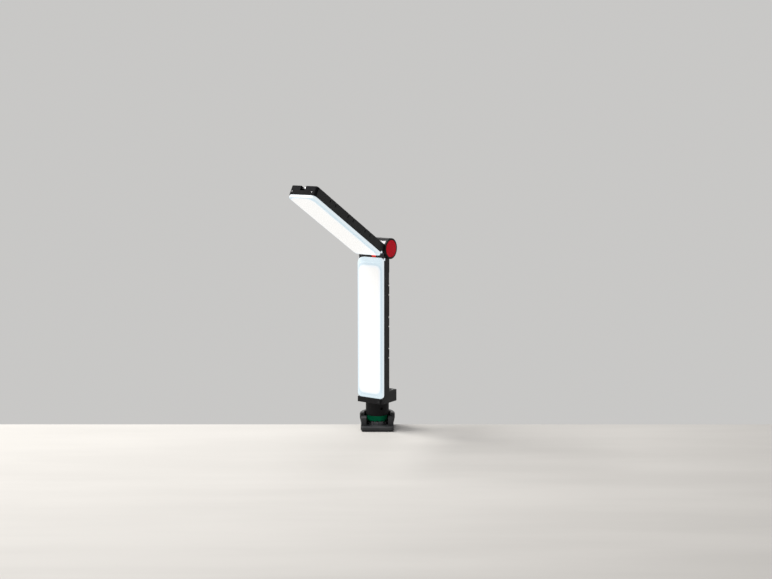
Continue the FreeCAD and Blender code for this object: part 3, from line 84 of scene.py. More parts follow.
def corners_of(node):
    """A node's vertices in its own body's upright place, in millimetres."""
    mesh = nodes[node].data
    points = np.empty(len(mesh.vertices) * 3)
    mesh.vertices.foreach_get("co", points)
    back = np.linalg.inv(stands[body_of[node]])
    return points.reshape(-1, 3) / MM @ back[:3, :3].T + back[:3, 3]


def extent(node):
    """Lowest and highest corner of a node in its own body's upright place, in millimetres."""
    points = corners_of(node)
    return points.min(0), points.max(0)


def halves(node, axis):
    """Lowest and highest corner of each half of a node that has two like pieces along an axis."""
    points = corners_of(node)
    middle = (points[:, axis].min() + points[:, axis].max()) / 2
    parts = points[points[:, axis] < middle], points[points[:, axis] >= middle]
    return [(part.min(0), part.max(0)) for part in parts]


# Finishes

# The share of a noise's range over which a mottle goes from one value to the other
mottle_start, mottle_end = 0.38, 0.62

# The glow value of the covers' rims, and the light that each glow value gives, from the lit middle outwards
rim_glow = 0.78
cover_light = (
    (0.0, (0.65, 0.64, 0.62)),
    (0.22, (0.60, 0.63, 0.65)),
    (0.5, (0.34, 0.46, 0.53)),
    (rim_glow, (0.41, 0.53, 0.59)),
    (1.0, (0.58, 0.66, 0.70)),
)


def finish(name, colour, roughness, metallic=0.0, specular=0.5, coat=0.0):
    """A new material with its shader's own numbers set."""
    made = bpy.data.materials.new(name)
    made.use_nodes = True
    shader = made.node_tree.nodes["Principled BSDF"]
    shader.inputs["Base Color"].default_value = (*colour, 1)
    shader.inputs["Roughness"].default_value = roughness
    shader.inputs["Metallic"].default_value = metallic
    shader.inputs["Specular IOR Level"].default_value = specular
    shader.inputs["Coat Weight"].default_value = coat
    shader.inputs["Coat Roughness"].default_value = 0.1
    return made, shader


def add(made, kind, settings=(), **sockets):
    """A shader node with its settings and the values of its sockets."""
    item = made.node_tree.nodes.new("ShaderNode" + kind)
    for key, value in dict(settings).items():
        setattr(item, key, value)
    for key, value in sockets.items():
        item.inputs[key].default_value = value
    return item


def wire(made, *steps):
    """Links output to input along a list of such pairs."""
    for output, target in steps:
        made.node_tree.links.new(output, target)


def placed(made, stretch):
    """The object's own coordinates, stretched along its axes."""
    place = add(made, "TexCoord")
    mapping = add(made, "Mapping", Scale=stretch)
    wire(made, (place.outputs["Object"], mapping.inputs["Vector"]))
    return mapping.outputs["Vector"]


def grain(made, shader, scale, height, stretch=(1, 1, 1), coarse=None):
    """A raised grain over the surface: fine noise of a scale and height, over a coarser one where given."""
    at = placed(made, stretch)
    noise = add(made, "TexNoise", Scale=scale, Detail=3.0, Roughness=0.6)
    bump = add(made, "Bump", Strength=1.0, Distance=height)
    wire(made, (at, noise.inputs["Vector"]), (noise.outputs["Fac"], bump.inputs["Height"]),
         (bump.outputs["Normal"], shader.inputs["Normal"]))
    if coarse:
        coarse_scale, coarse_height = coarse
        swell = add(made, "TexNoise", Scale=coarse_scale, Detail=2.0, Roughness=0.5)
        under = add(made, "Bump", Strength=1.0, Distance=coarse_height)
        wire(made, (at, swell.inputs["Vector"]), (swell.outputs["Fac"], under.inputs["Height"]),
             (under.outputs["Normal"], bump.inputs["Normal"]))


def mottle(made, shader, socket, scale, low, high, stretch=(1, 1, 1)):
    """A slow change of one number or colour over the surface, between two values."""
    noise = add(made, "TexNoise", Scale=scale, Detail=4.0, Roughness=0.55)
    ramp = add(made, "ValToRGB")
    ends = (mottle_start, low), (mottle_end, high)
    for stop, (position, colour) in zip(ramp.color_ramp.elements, ends):
        stop.position, stop.color = position, (*colour, 1)
    wire(made, (placed(made, stretch), noise.inputs["Vector"]), (noise.outputs["Fac"], ramp.inputs["Fac"]),
         (ramp.outputs["Color"], shader.inputs[socket]))


def shades(colour, spread):
    """A darker and a lighter shade of a colour."""
    return [value * (1 - spread) for value in colour], [min(value * (1 + spread), 1.0) for value in colour]


def gloss(roughness, spread):
    """A smoother and a rougher value round a roughness, as greys."""
    return [roughness - spread] * 3, [roughness + spread] * 3


def blasted_shell(name, colour, roughness, specular):
    """Bead-blasted, black anodised metal: very fine grain, slow changes of shade and gloss."""
    made, shader = finish(name, colour, roughness, specular=specular)
    grain(made, shader, 3200.0, 0.02 * MM, coarse=(420.0, 0.02 * MM))
    mottle(made, shader, "Base Color", 38.0, *shades(colour, 0.16))
    mottle(made, shader, "Roughness", 70.0, *gloss(roughness, 0.05))
    return made


def powder_coat(name, colour, roughness, specular):
    """A powder coat on a casting: pebbled like orange peel, a little uneven in shade."""
    made, shader = finish(name, colour, roughness, specular=specular)
    grain(made, shader, 1300.0, 0.06 * MM, coarse=(330.0, 0.05 * MM))
    mottle(made, shader, "Base Color", 90.0, *shades(colour, 0.14))
    mottle(made, shader, "Roughness", 140.0, *gloss(roughness, 0.06))
    return made


def moulded(name, colour, roughness, specular=0.5, coat=0.0):
    """Moulded plastic: a faint spark-eroded grain and slow flow marks along the pull of the mould."""
    made, shader = finish(name, colour, roughness, specular=specular, coat=coat)
    grain(made, shader, 1900.0, 0.018 * MM, coarse=(160.0, 0.03 * MM))
    mottle(made, shader, "Base Color", 60.0, *shades(colour, 0.10), stretch=(1, 1, 0.35))
    mottle(made, shader, "Roughness", 110.0, *gloss(roughness, 0.05))
    return made


def soft_rubber(name, colour, roughness=0.78):
    """Matt rubber with a fine speckle and pale bloom."""
    made, shader = finish(name, colour, roughness, specular=0.25)
    grain(made, shader, 1500.0, 0.05 * MM)
    mottle(made, shader, "Base Color", 120.0, *shades(colour, 0.22))
    return made


def turned_metal(name, colour, roughness, stretch=(1, 1, 14)):
    """Turned and plated metal: fine tool marks and slightly uneven plating."""
    made, shader = finish(name, colour, roughness, metallic=1.0)
    grain(made, shader, 700.0, 0.012 * MM, stretch=stretch)
    mottle(made, shader, "Roughness", 260.0, *gloss(roughness, 0.07))
    mottle(made, shader, "Base Color", 90.0, *shades(colour, 0.08))
    return made


def polished_barrel(name, colour, roughness):
    """Black nickel on the turned barrel: dark and glossy, with a trace of the polishing and uneven shine."""
    made, shader = finish(name, colour, roughness, metallic=1.0)
    grain(made, shader, 900.0, 0.004 * MM)
    mottle(made, shader, "Roughness", 120.0, *gloss(roughness, 0.04))
    mottle(made, shader, "Base Color", 70.0, *shades(colour, 0.08))
    return made


def plastic_with_painted_glow(name, colour, roughness, specular, glow):
    """Moulded plastic with a painted glow: an emission of its own colour that stands in for the covers' light
    falling on it.
    """
    made = moulded(name, colour, roughness, specular)
    shader = made.node_tree.nodes["Principled BSDF"]
    shader.inputs["Emission Color"].default_value = (*colour, 1)
    shader.inputs["Emission Strength"].default_value = glow
    return made


def circuit_board(name, mask, copper, scale):
    """A board with its solder mask in two shades and the raised lines of its tracks."""
    made, shader = finish(name, mask, 0.38)
    at = placed(made, (1, 1, 1))
    tracks = add(made, "TexBrick", Scale=scale)
    tracks.inputs["Color1"].default_value = (*mask, 1)
    tracks.inputs["Color2"].default_value = (*shades(mask, 0.25)[0], 1)
    tracks.inputs["Mortar"].default_value = (*copper, 1)
    tracks.inputs["Mortar Size"].default_value = 0.03
    bump = add(made, "Bump", Strength=0.6, Distance=0.04 * MM)
    wire(made, (at, tracks.inputs["Vector"]), (tracks.outputs["Color"], shader.inputs["Base Color"]),
         (tracks.outputs["Fac"], bump.inputs["Height"]), (bump.outputs["Normal"], shader.inputs["Normal"]))
    return made


def shrink_wrap(name, colour):
    """The battery's shrink wrap: glossy, with long faint wrinkles."""
    made, shader = finish(name, colour, 0.3, coat=0.3)
    grain(made, shader, 130.0, 0.3 * MM, stretch=(1, 1, 0.12))
    mottle(made, shader, "Base Color", 45.0, *shades(colour, 0.12))
    return made


def lit_cover(name):
    """A frosted cover lit from behind: white in the middle, pale blue towards its moulded edge.

    The attribute glow runs from 0 in the lit middle to 1 on the side walls, and a ramp turns it to light.
    """
    made, shader = finish(name, (0.46, 0.47, 0.48), 0.40, specular=0.25)
    glow = add(made, "Attribute", {"attribute_name": "glow"})
    ramp = add(made, "ValToRGB")
    ramp.color_ramp.interpolation = "EASE"
    stops = ramp.color_ramp.elements
    for stop, (position, colour) in zip(stops, (cover_light[0], cover_light[-1])):
        stop.position, stop.color = position, (*colour, 1)
    for position, colour in cover_light[1:-1]:
        stops.new(position).color = (*colour, 1)
    shader.inputs["Emission Strength"].default_value = 1.0
    wire(made, (glow.outputs["Fac"], ramp.inputs["Fac"]),
         (ramp.outputs["Color"], shader.inputs["Emission Color"]))
    grain(made, shader, 2400.0, 0.003 * MM)
    return made


finishes = {
    "clamp_casting": powder_coat("grey_powder_coat", (0.048, 0.049, 0.051), 0.62, 0.14),
    "pad_rubber": soft_rubber("jaw_rubber", (0.022, 0.023, 0.025)),
    "collar_grey": moulded("grey_collar", (0.140, 0.142, 0.148), 0.30),
    "bush_green": moulded("green_bearing_plastic", (0.0, 0.150, 0.062), 0.58, 0.05),
    "screw_steel": turned_metal("zinc_plate", (0.60, 0.61, 0.62), 0.32),
    "insert_brass": turned_metal("insert_brass", (0.66, 0.46, 0.20), 0.30),
    "grip_black": moulded("grip_plastic", (0.030, 0.031, 0.033), 0.25, 0.6),
    "plate_steel": turned_metal("latch_steel", (0.50, 0.51, 0.52), 0.36, (12, 1, 1)),
    "spring_steel": turned_metal("spring_wire", (0.48, 0.48, 0.50), 0.28),
    "pad_metal": turned_metal("pad_zinc", (0.44, 0.45, 0.46), 0.44, (8, 8, 1)),
    "clamp_screw": turned_metal("clamp_screw_steel", (0.34, 0.34, 0.35), 0.34),
    "knob_plastic": moulded("knob_plastic", (0.022, 0.022, 0.024), 0.45, 0.4),
    "spigot_steel": turned_metal("spigot_steel", (0.42, 0.42, 0.43), 0.30),
    "washer_nylon": moulded("washer_nylon", (0.020, 0.018, 0.018), 0.55, 0.2),
    "neck_black": blasted_shell("neck_shell", (0.0075, 0.0075, 0.008), 0.52, 0.12),
    "screw_dark": turned_metal("blackened_screw", (0.05, 0.05, 0.055), 0.36),
    "housing_black": blasted_shell("panel_shell", (0.017, 0.0175, 0.018), 0.50, 0.22),
    "chin_black": moulded("chin_plastic", (0.010, 0.010, 0.011), 0.45, 0.15),
    "cover_black": moulded("rear_cover_plastic", (0.017, 0.017, 0.018), 0.50, 0.2),
    "diffuser_white": lit_cover("lit_cover"),
    "board_white": circuit_board("light_board", (0.75, 0.76, 0.74), (0.62, 0.64, 0.60), 90.0),
    "board_green": circuit_board("control_board_mask", (0.010, 0.10, 0.045), (0.05, 0.22, 0.10), 160.0),
    "led_yellow": moulded("led_phosphor", (0.80, 0.62, 0.18), 0.40, coat=0.3),
    "reflector_white": moulded("reflector_plastic", (0.82, 0.82, 0.80), 0.30, coat=0.2),
    "battery_grey": shrink_wrap("battery_wrap", (0.10, 0.15, 0.24)),
    "button_black": soft_rubber("button_rubber", (0.016, 0.016, 0.018), 0.50),
    "switch_black": moulded("switch_plastic", (0.018, 0.018, 0.020), 0.40),
    "port_steel": turned_metal("socket_steel", (0.58, 0.58, 0.60), 0.26, (1, 10, 1)),
    "flap_rubber": soft_rubber("flap_rubber", (0.020, 0.020, 0.022), 0.62),
    "hinge_black": polished_barrel("barrel_metal", (0.055, 0.055, 0.057), 0.20),
    "pin_steel": turned_metal("pin_steel", (0.50, 0.50, 0.51), 0.30, (14, 1, 1)),
    "hinge_red": moulded("red_cap_plastic", (0.94, 0.010, 0.030), 0.42, 0.10),
}

# Pieces whose finish differs from the others of their material slot
own_finishes = {
    "upper_end_cap": moulded("tip_plastic", (0.008, 0.008, 0.009), 0.66, 0.05),
    # The red band's glow is painted light: it stands in for the covers' light that falls on it in the gap.
    "hinge_band": plastic_with_painted_glow("red_band_painted_glow", (0.90, 0.045, 0.025), 0.40, 0.25, 0.7),
    "tip_screws": turned_metal("tip_screw_steel", (0.17, 0.17, 0.175), 0.42),
    "latch_plate_left": turned_metal("blackened_latch", (0.020, 0.020, 0.021), 0.50, (12, 1, 1)),
    "collar_screws": turned_metal("blackened_collar_screws", (0.020, 0.020, 0.021), 0.50),
    "neck_grub_screw": moulded("blacked_grub_screw", (0.003, 0.003, 0.003), 0.65, 0.05),
    "barrel_rim_left": moulded("barrel_rim_plastic", (0.008, 0.008, 0.008), 0.50, 0.15),
}
for name in ("latch_plate", "barrel_rim"):
    own_finishes[name + "_right"] = own_finishes[name + "_left"]


# Surfaces

# A surface's ring next to its axis has this radius, and a fan closes it
axis_gap, fine_axis_gap = 0.05, 0.03

almost_straight = 0.01
steep = 0.9


def put(body, points):
    """Points in millimetres in a body's upright place, moved to the frame in metres."""
    matrix = stands[body]
    return (points @ matrix[:3, :3].T + matrix[:3, 3]) * MM


def outward(points, faces):
    """The faces in the order that makes the closed surface's volume positive.

    The volume is the sum over the faces, cut in triangles, of the corners' triple product over six.
    """
    volume = 0.0
    for face in faces:
        for step in range(1, face.shape[1] - 1):
            a, b, c = points[face[:, 0]], points[face[:, step]], points[face[:, step + 1]]
            volume += np.einsum("ij,ij->", a, np.cross(b, c))
    return faces if volume > 0 else [face[:, ::-1] for face in faces]


def lofted(rings, start="fan", end="fan"):
    """Points and faces of a surface through rings of like count, one after another.

    Neighbouring rings are joined by four-sided faces. An end is closed by a fan to the ring's mean point, by
    strips between its two halves, or by the ring at the other end where the surface is a closed band.
    """
    count, around, _ = rings.shape
    points = rings.reshape(-1, 3)
    index = np.arange(count * around).reshape(count, around)
    lower = index if start == "ring" else index[:-1]
    upper = np.roll(index, -1, 0) if start == "ring" else index[1:]
    beside = np.roll(lower, -1, 1), np.roll(upper, -1, 1)
    faces = [np.stack([lower, beside[0], beside[1], upper], -1).reshape(-1, 4)]
    for kind, ring, flip in ((start, index[0], True), (end, index[-1], False)):
        if kind == "fan":
            middle = len(points)
            points = np.vstack([points, points[ring].mean(0)])
            closing = np.stack([ring, np.roll(ring, -1), np.full(around, middle)], -1)
            faces.append(closing[:, ::-1] if flip else closing)
        if kind == "strips":
            half = around // 2
            one, other = ring[:half], ring[::-1][:half]
            closing = np.stack([one[:-1], one[1:], other[1:], other[:-1]], -1)
            faces.append(closing[:, ::-1] if flip else closing)
    return points, outward(points, faces)


def piece(name, node, points, faces, smooth=38.0, values=None):
    """A new object from points and faces in place of a node, with that node's body and material slot."""
    body, slot = body_of[node], slot_of[node]
    mesh = bpy.data.meshes.new(name)
    mesh.from_pydata(put(body, points).tolist(), [], [row for face in faces for row in face.tolist()])
    mesh.shade_smooth()
    mesh.set_sharp_from_angle(angle=math.radians(smooth))
    for label, numbers in (values or {}).items():
        layer = mesh.attributes.new(label, "FLOAT", "POINT")
        layer.data.foreach_set("value", numbers.astype(np.float32))
    mesh.materials.append(own_finishes.get(name, finishes[slot]))
    made = bpy.data.objects.new(name, mesh)
    bpy.context.scene.collection.objects.link(made)
    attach(made, body)
    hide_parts(node)


def rounded(corners, radii, steps=5):
    """An open profile through corners, each rounded by an arc that touches both its sides.

    The arc of radius r starts and ends r / tan(half the corner's angle) from the corner.
    """
    corners = np.array(corners, float)
    line = [corners[:1]]
    for before, corner, after, radius in zip(corners, corners[1:], corners[2:], radii):
        one = (before - corner) / np.linalg.norm(before - corner)
        other = (after - corner) / np.linalg.norm(after - corner)
        half = math.acos(np.clip(one @ other, -1, 1)) / 2
        if radius <= 0 or half > math.pi / 2 - almost_straight:
            line.append(corner[None])
            continue
        reach = radius / math.tan(half)
        across = (one + other) / np.linalg.norm(one + other)
        centre = corner + across * radius / math.sin(half)
        spread = math.pi / 2 - half
        angles = np.linspace(-spread, spread, steps)
        side = corner + one * reach - centre
        side = side - across * (side @ across)
        side = side / np.linalg.norm(side)
        arc = centre - across * radius * np.cos(angles)[:, None] - side * radius * np.sin(angles)[:, None]
        line.append(arc)
    line.append(corners[-1:])
    return np.vstack(line)


def aimed(axis, centre):
    """The matrix that takes +Z to an axis and the origin to a centre."""
    axis = np.array(axis, float) / np.linalg.norm(axis)
    helper = np.array([0.0, 0.0, 1.0]) if abs(axis[2]) < steep else np.array([1.0, 0.0, 0.0])
    side = np.cross(helper, axis)
    side = side / np.linalg.norm(side)
    matrix = np.eye(4)
    matrix[:3, 0], matrix[:3, 1], matrix[:3, 2], matrix[:3, 3] = side, np.cross(axis, side), axis, centre
    return matrix


def moved(matrix, points):
    """Points carried by a 4 by 4 matrix."""
    return points @ matrix[:3, :3].T + matrix[:3, 3]


def spun(profile, around=72, reach=None):
    """Rings of a surface of revolution about Z from a profile of radius and height.

    A ring's point at angle a lies at the profile's radius times reach(a, radius, height), which is 1 where
    none is given, and at the profile's height.
    """
    angle = np.linspace(0, 2 * math.pi, around, endpoint=False)
    radius = np.repeat(profile[:, :1], around, 1)
    height = np.repeat(profile[:, 1:2], around, 1)
    scale = 1.0 if reach is None else reach(angle[None, :], radius, height)
    return np.stack([radius * scale * np.cos(angle), radius * scale * np.sin(angle), height], -1)


def joined(parts):
    """Several surfaces put together in one list of points and one of faces."""
    points, faces, start = [], [], 0
    for part_points, part_faces in parts:
        points.append(part_points)
        faces.extend(face + start for face in part_faces)
        start += len(part_points)
    return np.vstack(points), faces


def pillow(half_x, half_z, corner, depth, edge, arc_points=9):
    """A rounded rectangle with a softly rounded front edge, its back at y 0 and its front at -depth.

    A ring is the rectangle with a quarter circle at each corner. At angle a of the edge's own quarter circle
    the corners' radius is less by edge * (1 - cos a), edge * (1 - sin a) behind the front.
    """
    arc = np.linspace(0, math.pi / 2, arc_points)
    rings = [(0.0, 0.0)]
    rings += [(edge * (1 - math.cos(a)), -depth + edge * (1 - math.sin(a))) for a in arc]
    quarter = np.linspace(0, math.pi / 2, 8)
    turns = np.concatenate([quarter + i * math.pi / 2 for i in range(4)])
    corner_x = np.repeat([1, -1, -1, 1], len(quarter)) * (half_x - corner)
    corner_z = np.repeat([1, 1, -1, -1], len(quarter)) * (half_z - corner)
    shapes = []
    for inset, level in rings:
        radius = max(corner - inset, axis_gap)
        x = corner_x + radius * np.cos(turns)
        z = corner_z + radius * np.sin(turns)
        shapes.append(np.stack([x, np.full(len(x), level), z], -1))
    return lofted(np.array(shapes))


# Light covers

outline_corner, plateau_corner, least_corner, corner_taper = 5.2, 3.6, 2.2, 0.1
cover_edge, cover_drop, cover_seat = 1.1, 0.55, 0.02
bevel_shares, bevel_rise = (0.25, 0.5, 0.75, 0.93), 0.55
step_width, step_foot, step_top = 0.15, 0.30, 0.06
face_insets = (0.5, 1.0, 1.6, 2.3, 3.1, 4.0, 5.0, 6.2, 8.0, 10.5, 14.0)
glow_fade, glow_reach, wall_start = 4.6, 10.0, 0.35
tab_reach, tab_height, tab_thickness, tab_corner, tab_edge = 2.6, 3.4, 0.3, 0.5, 0.12
tab_sink, tab_inset = 0.1, 0.4


def cover_outline(half, low, high, radius, left_growth):
    """Points round an upright rectangle with rounded corners, the two halves of its width in step.

    Each corner is a quarter circle of the given radius, and the left one of the head is larger by the given
    factor. A half runs from the middle of the foot to the middle of the head, both with as many points.
    """
    quarter = np.linspace(0, math.pi / 2, 12)
    sides = []
    for head_radius in (radius, radius * left_growth):
        foot = np.stack([half - radius + radius * np.sin(quarter),
                         low + radius - radius * np.cos(quarter)], -1)
        head = np.stack([half - head_radius + head_radius * np.cos(quarter),
                         high - head_radius + head_radius * np.sin(quarter)], -1)
        foot_run = np.linspace(0, half - radius, 6)[1:-1]
        head_run = np.linspace(half - head_radius, 0, 6)[1:-1]
        upright = np.linspace(low + radius, high - head_radius, 60)[1:-1]
        sides.append(np.vstack([
            np.stack([foot_run, np.full_like(foot_run, low)], -1), foot,
            np.stack([np.full_like(upright, half), upright], -1), head,
            np.stack([head_run, np.full_like(head_run, high)], -1),
        ]))
    right, left = sides
    return np.vstack([right, (left * (-1, 1))[::-1]])


def light_cover(node, rims, bevels, end_edges, lit_corner, left_growth, trim, hinge_end):
    """A frosted cover: a rounded edge, a bevel up to the raised lit middle, and a flat face.

    Each ring is the outline drawn in by its own insets at the sides, foot and head, at its own depth: a
    quarter ellipse for the edge, a straight bevel, a small step and the flat face. The foot is trimmed by a
    width, and the left corner of the head grows by a factor. The glow value is the distance outside the lit
    middle, a rounded rectangle that the rims' widths (left, right, foot, head) leave, over a fixed width.
    A tab at each corner of the hinge end grips the shell's side.
    """
    low, high = extent(node)
    half, front, back = high[0], low[1], high[1]
    edges, bevels = np.array([cover_edge, *end_edges]), np.array(bevels)
    steps = [(0 * edges, outline_corner, back - cover_seat)]
    for angle in np.linspace(0, math.pi / 2, 5):
        drawn = 1 - math.cos(angle)
        steps.append((edges * drawn, outline_corner - cover_edge * drawn / 2,
                      front + cover_drop + cover_edge * (1 - math.sin(angle))))
    for share in bevel_shares:
        steps.append((edges + (bevels - edges) * share, plateau_corner,
                      front + cover_drop * (1 - bevel_rise * share)))
    steps.append((bevels, plateau_corner, front + step_foot))
    steps.append((bevels + step_width, plateau_corner, front + step_top))
    for more in face_insets:
        steps.append((bevels + more, max(plateau_corner - more * corner_taper, least_corner), front))
    rings = []
    for (side, foot, head), radius, depth in steps:
        outline = cover_outline(half - side, low[2] + trim + foot, high[2] - head, radius, left_growth)
        rings.append(np.stack([outline[:, 0], np.full(len(outline), depth), outline[:, 1]], -1))
    points, faces = lofted(np.array(rings), "strips", "strips")

    left, right, foot, head = rims
    lit_low = np.array([left - half, low[2] + foot])
    lit_high = np.array([half - right, high[2] - head])
    middle, reach = (lit_low + lit_high) / 2, (lit_high - lit_low) / 2
    away = np.abs(points[:, [0, 2]] - middle) - (reach - lit_corner)
    outside = np.hypot(*np.maximum(away, 0).T) + np.minimum(away.max(1), 0) - lit_corner
    glow = np.clip((outside + glow_fade / 2) / glow_reach, 0, rim_glow)
    glow[points[:, 1] > front + cover_drop + wall_start * cover_edge] = 1.0

    parts = [(points, faces)]
    tab_level = hinge_end(low[2] + trim + tab_height / 2 + tab_inset, high[2] - tab_height / 2 - tab_inset)
    for side in (-1, 1):
        tab, tab_faces = pillow(tab_reach / 2, tab_height / 2, tab_corner, tab_thickness + tab_sink,
                                tab_edge, 4)
        place = (side * (half - tab_sink), back + tab_reach / 2 - tab_inset, tab_level)
        parts.append((moved(turn((0, 0, 1), 90 * side), tab) + place, tab_faces))
    points, faces = joined(parts)
    glow = np.concatenate([glow, np.ones(len(points) - len(glow))])
    piece(node.replace("diffuser", "cover"), node, points, faces, 50.0, {"glow": glow})


light_cover("lower_diffuser", rims=(4.0, 4.4, 8.0, 12.0), bevels=(2.2, 4.4, 6.9), end_edges=(1.1, 1.6),
            lit_corner=7.0, left_growth=1.75, trim=0.0, hinge_end=max)
light_cover("upper_diffuser", rims=(1.5, 5.0, 3.5, 2.0), bevels=(2.2, 4.6, 3.9), end_edges=(2.6, 1.1),
            lit_corner=9.0, left_growth=1.0, trim=1.4, hinge_end=min)


# Hinge barrel

def cap_and_rim(side):
    """The red cap and black rim at one end of the barrel, each a surface of revolution about the barrel.

    The cap's profile runs from its plug round a rounded lip, over a fine groove and a crowned face to the
    axis. The rim's profile is a closed loop with rounded corners.
    """
    end = "right" if side > 0 else "left"
    cap_low, cap_high = extent("hinge_cap_" + end)
    rim_low, rim_high = extent("hinge_rim_" + end)
    seat = rim_low[0] if side > 0 else -rim_high[0]
    face = cap_high[0] if side > 0 else -cap_low[0]
    lip = rim_high[0] if side > 0 else -rim_low[0]
    cap_radius = (cap_high[2] - cap_low[2]) / 2
    rim_radius = (rim_high[2] - rim_low[2]) / 2
    stand = aimed((side, 0, 0), (0, 0, hinge_level))
    plug_radius, plug_end, seated = cap_radius - 2.5, seat - 1.0, seat + 0.02
    groove_outer, groove_middle, groove_inner = cap_radius - 1.7, cap_radius - 2.0, cap_radius - 2.3
    groove_depth, face_drop, crown = 0.12, 0.02, 0.22
    profile = rounded([(axis_gap, plug_end), (plug_radius, plug_end), (plug_radius, seated),
                       (cap_radius, seated), (cap_radius, face), (groove_outer, face),
                       (groove_middle, face - groove_depth), (groove_inner, face - face_drop),
                       (axis_gap, face + crown)],
                      [0.1, 0.1, 0.1, 0.55, 0.15, 0.1, 0.15])
    points, faces = lofted(spun(profile, 96))
    piece("barrel_cap_" + end, "hinge_cap_" + end, moved(stand, points), faces)
    cap_clearance = 0.1
    inner, half_way = cap_radius + cap_clearance, (seat + lip) / 2
    loop = rounded([(inner, half_way), (inner, lip), (rim_radius, lip), (rim_radius, seat), (inner, seat),
                    (inner, half_way)], [0.3, 0.45, 0.12, 0.1])
    points, faces = lofted(spun(loop[:-1], 96), "ring", "ring")
    piece("barrel_rim_" + end, "hinge_rim_" + end, moved(stand, points), faces)


cap_and_rim(-1)
cap_and_rim(1)


# Small screws

small_shank = 0.88


def hexagon(angle):
    """How far a hexagon's side lies at an angle, where the middle of the side lies at 1."""
    return 1 / np.cos((angle + math.pi / 6) % (math.pi / 3) - math.pi / 6)


def socket_screw(radius, height, length, shank):
    """A screw with a domed head and a six-sided socket, its head's top at the origin and its shank down -Z.

    It is a surface of revolution about Z, whose rings in the socket are stretched to a hexagon.
    """
    flat, deep = radius * 0.46, height * 0.55
    socket_point, socket_chamfer, socket_mouth = flat * 0.3, 0.08, flat * 1.2
    dome, dome_drop, dome_foot = radius * 0.75, 0.02, height * 0.3
    profile = rounded([(fine_axis_gap, -deep - socket_point), (flat, -deep), (flat, -socket_chamfer),
                       (socket_mouth, 0.0), (dome, -dome_drop), (radius, -dome_foot), (radius, -height),
                       (shank, -height), (shank, -length + shank / 2), (fine_axis_gap, -length)],
                      [0.0, 0.0, 0.0, 0.1, 0.15, 0.05, 0.0, 0.1])

    def reach(angle, ring_radius, ring_height):
        socket = (ring_radius <= flat * 1.001) & (ring_height > -deep - flat) & (ring_radius > axis_gap)
        return np.where(socket, hexagon(angle), 1.0)

    return lofted(spun(profile, 48, reach))


def screw_pair(name, node, apart, axis, head_height):
    """Socket screws in place of a node's two, which stand apart along one axis and point along another."""
    parts = []
    for low, high in halves(node, apart):
        radius, length = (high[0] - low[0]) / 2, high[axis] - low[axis]
        top = (low + high) / 2
        top[axis] = high[axis]
        points, faces = socket_screw(radius, head_height, length, small_shank)
        parts.append((moved(aimed(np.eye(3)[axis], top), points), faces))
    points, faces = joined(parts)
    piece(name, node, points, faces, 30.0)


screw_pair("tip_screws", "end_screws", 0, 2, 1.6)
screw_pair("rear_box_screws", "box_screws", 0, 2, 1.1)
screw_pair("lug_screws", "knuckle_screws", 2, 1, 1.1)


def grub_screw():
    """The set screw in the side of the neck, a socket screw that points away from the neck's axis."""
    head_height, thread_root = 1.6, 0.9
    points = corners_of("neck_set_screw")
    middle = points.mean(0)
    away = np.array([middle[0], middle[1], 0]) / np.hypot(middle[0], middle[1])
    along = points @ away
    radius = (points[:, 2].max() - points[:, 2].min()) / 2
    centre = away * along.max() + (0, 0, (points[:, 2].max() + points[:, 2].min()) / 2)
    shape, faces = socket_screw(radius, head_height, along.max() - along.min(), radius * thread_root)
    piece("neck_grub_screw", "neck_set_screw", moved(aimed(away, centre), shape), faces, 30.0)


grub_screw()


# Power button and the socket's flap

def push_button():
    """A round rubber button over its flange, a surface of revolution about the way it travels.

    From the middle outwards its profile is a shallow dish, a fine ring groove and a rounded shoulder.
    """
    low, high = extent("power_button")
    middle = (low + high) / 2
    flange, length = (high[0] - low[0]) / 2, high[1] - low[1]
    stem, flange_top = 2.5, 0.9 - length
    dish, dish_side, groove, land = -0.28, -0.20, -0.14, -0.02
    profile = rounded([(fine_axis_gap, dish), (stem * 0.42, dish_side), (stem * 0.56, land),
                       (stem * 0.68, land), (stem * 0.74, groove), (stem * 0.80, land), (stem, 0.0),
                       (stem, flange_top), (flange, flange_top), (flange, -length), (fine_axis_gap, -length)],
                      [0.3, 0.1, 0.05, 0.05, 0.05, 0.3, 0.1, 0.1, 0.1])
    points, faces = lofted(spun(profile, 64))
    stand = aimed((0, -1, 0), (middle[0], low[1], middle[2]))
    piece("button_cap", "power_button", moved(stand, points), faces)


push_button()


def socket_flap():
    """The rubber flap: a rounded plate with three pull ribs, over its rolled hinge.

    The plate and the ribs are pillows, and the roll is a surface of revolution about X.
    """
    low, high = extent("usb_flap")
    middle = (low + high) / 2
    half_x, half_z = (high[0] - low[0]) / 2, (high[2] - low[2]) / 2
    depth = high[1] - low[1]
    plate_lift, plate_drop, plate_corner, plate_edge = 0.35, 0.25, 0.9, 0.3
    ribs, rib_half, rib_corner, rib_height, rib_edge = 3, 0.2, 0.18, 0.28, 0.14
    first_rib, rib_sink, rib_pitch = half_z * 0.62, 0.27, 0.75
    face_away = turn((0, 0, 1), 180)
    plate, faces = pillow(half_x, half_z - plate_lift, plate_corner, depth - plate_drop, plate_edge)
    parts = [(moved(face_away, plate) + (middle[0], low[1], middle[2] + plate_lift), faces)]
    for i in range(ribs):
        rib, faces = pillow(half_x / 2, rib_half, rib_corner, rib_height, rib_edge, 4)
        at = (middle[0], high[1] - rib_sink, middle[2] + first_rib - i * rib_pitch)
        parts.append((moved(face_away, rib) + at, faces))
    roll = rounded([(fine_axis_gap, -half_x), (depth / 2, -half_x),
                    (depth / 2, half_x), (fine_axis_gap, half_x)], [0.15, 0.15])
    points, faces = lofted(spun(roll, 32))
    parts.append((moved(aimed((1, 0, 0), (middle[0], middle[1], low[2] + depth / 2)), points), faces))
    points, faces = joined(parts)
    piece("socket_flap", "usb_flap", points, faces)


socket_flap()


# Clamp screw, knob and pressure pad

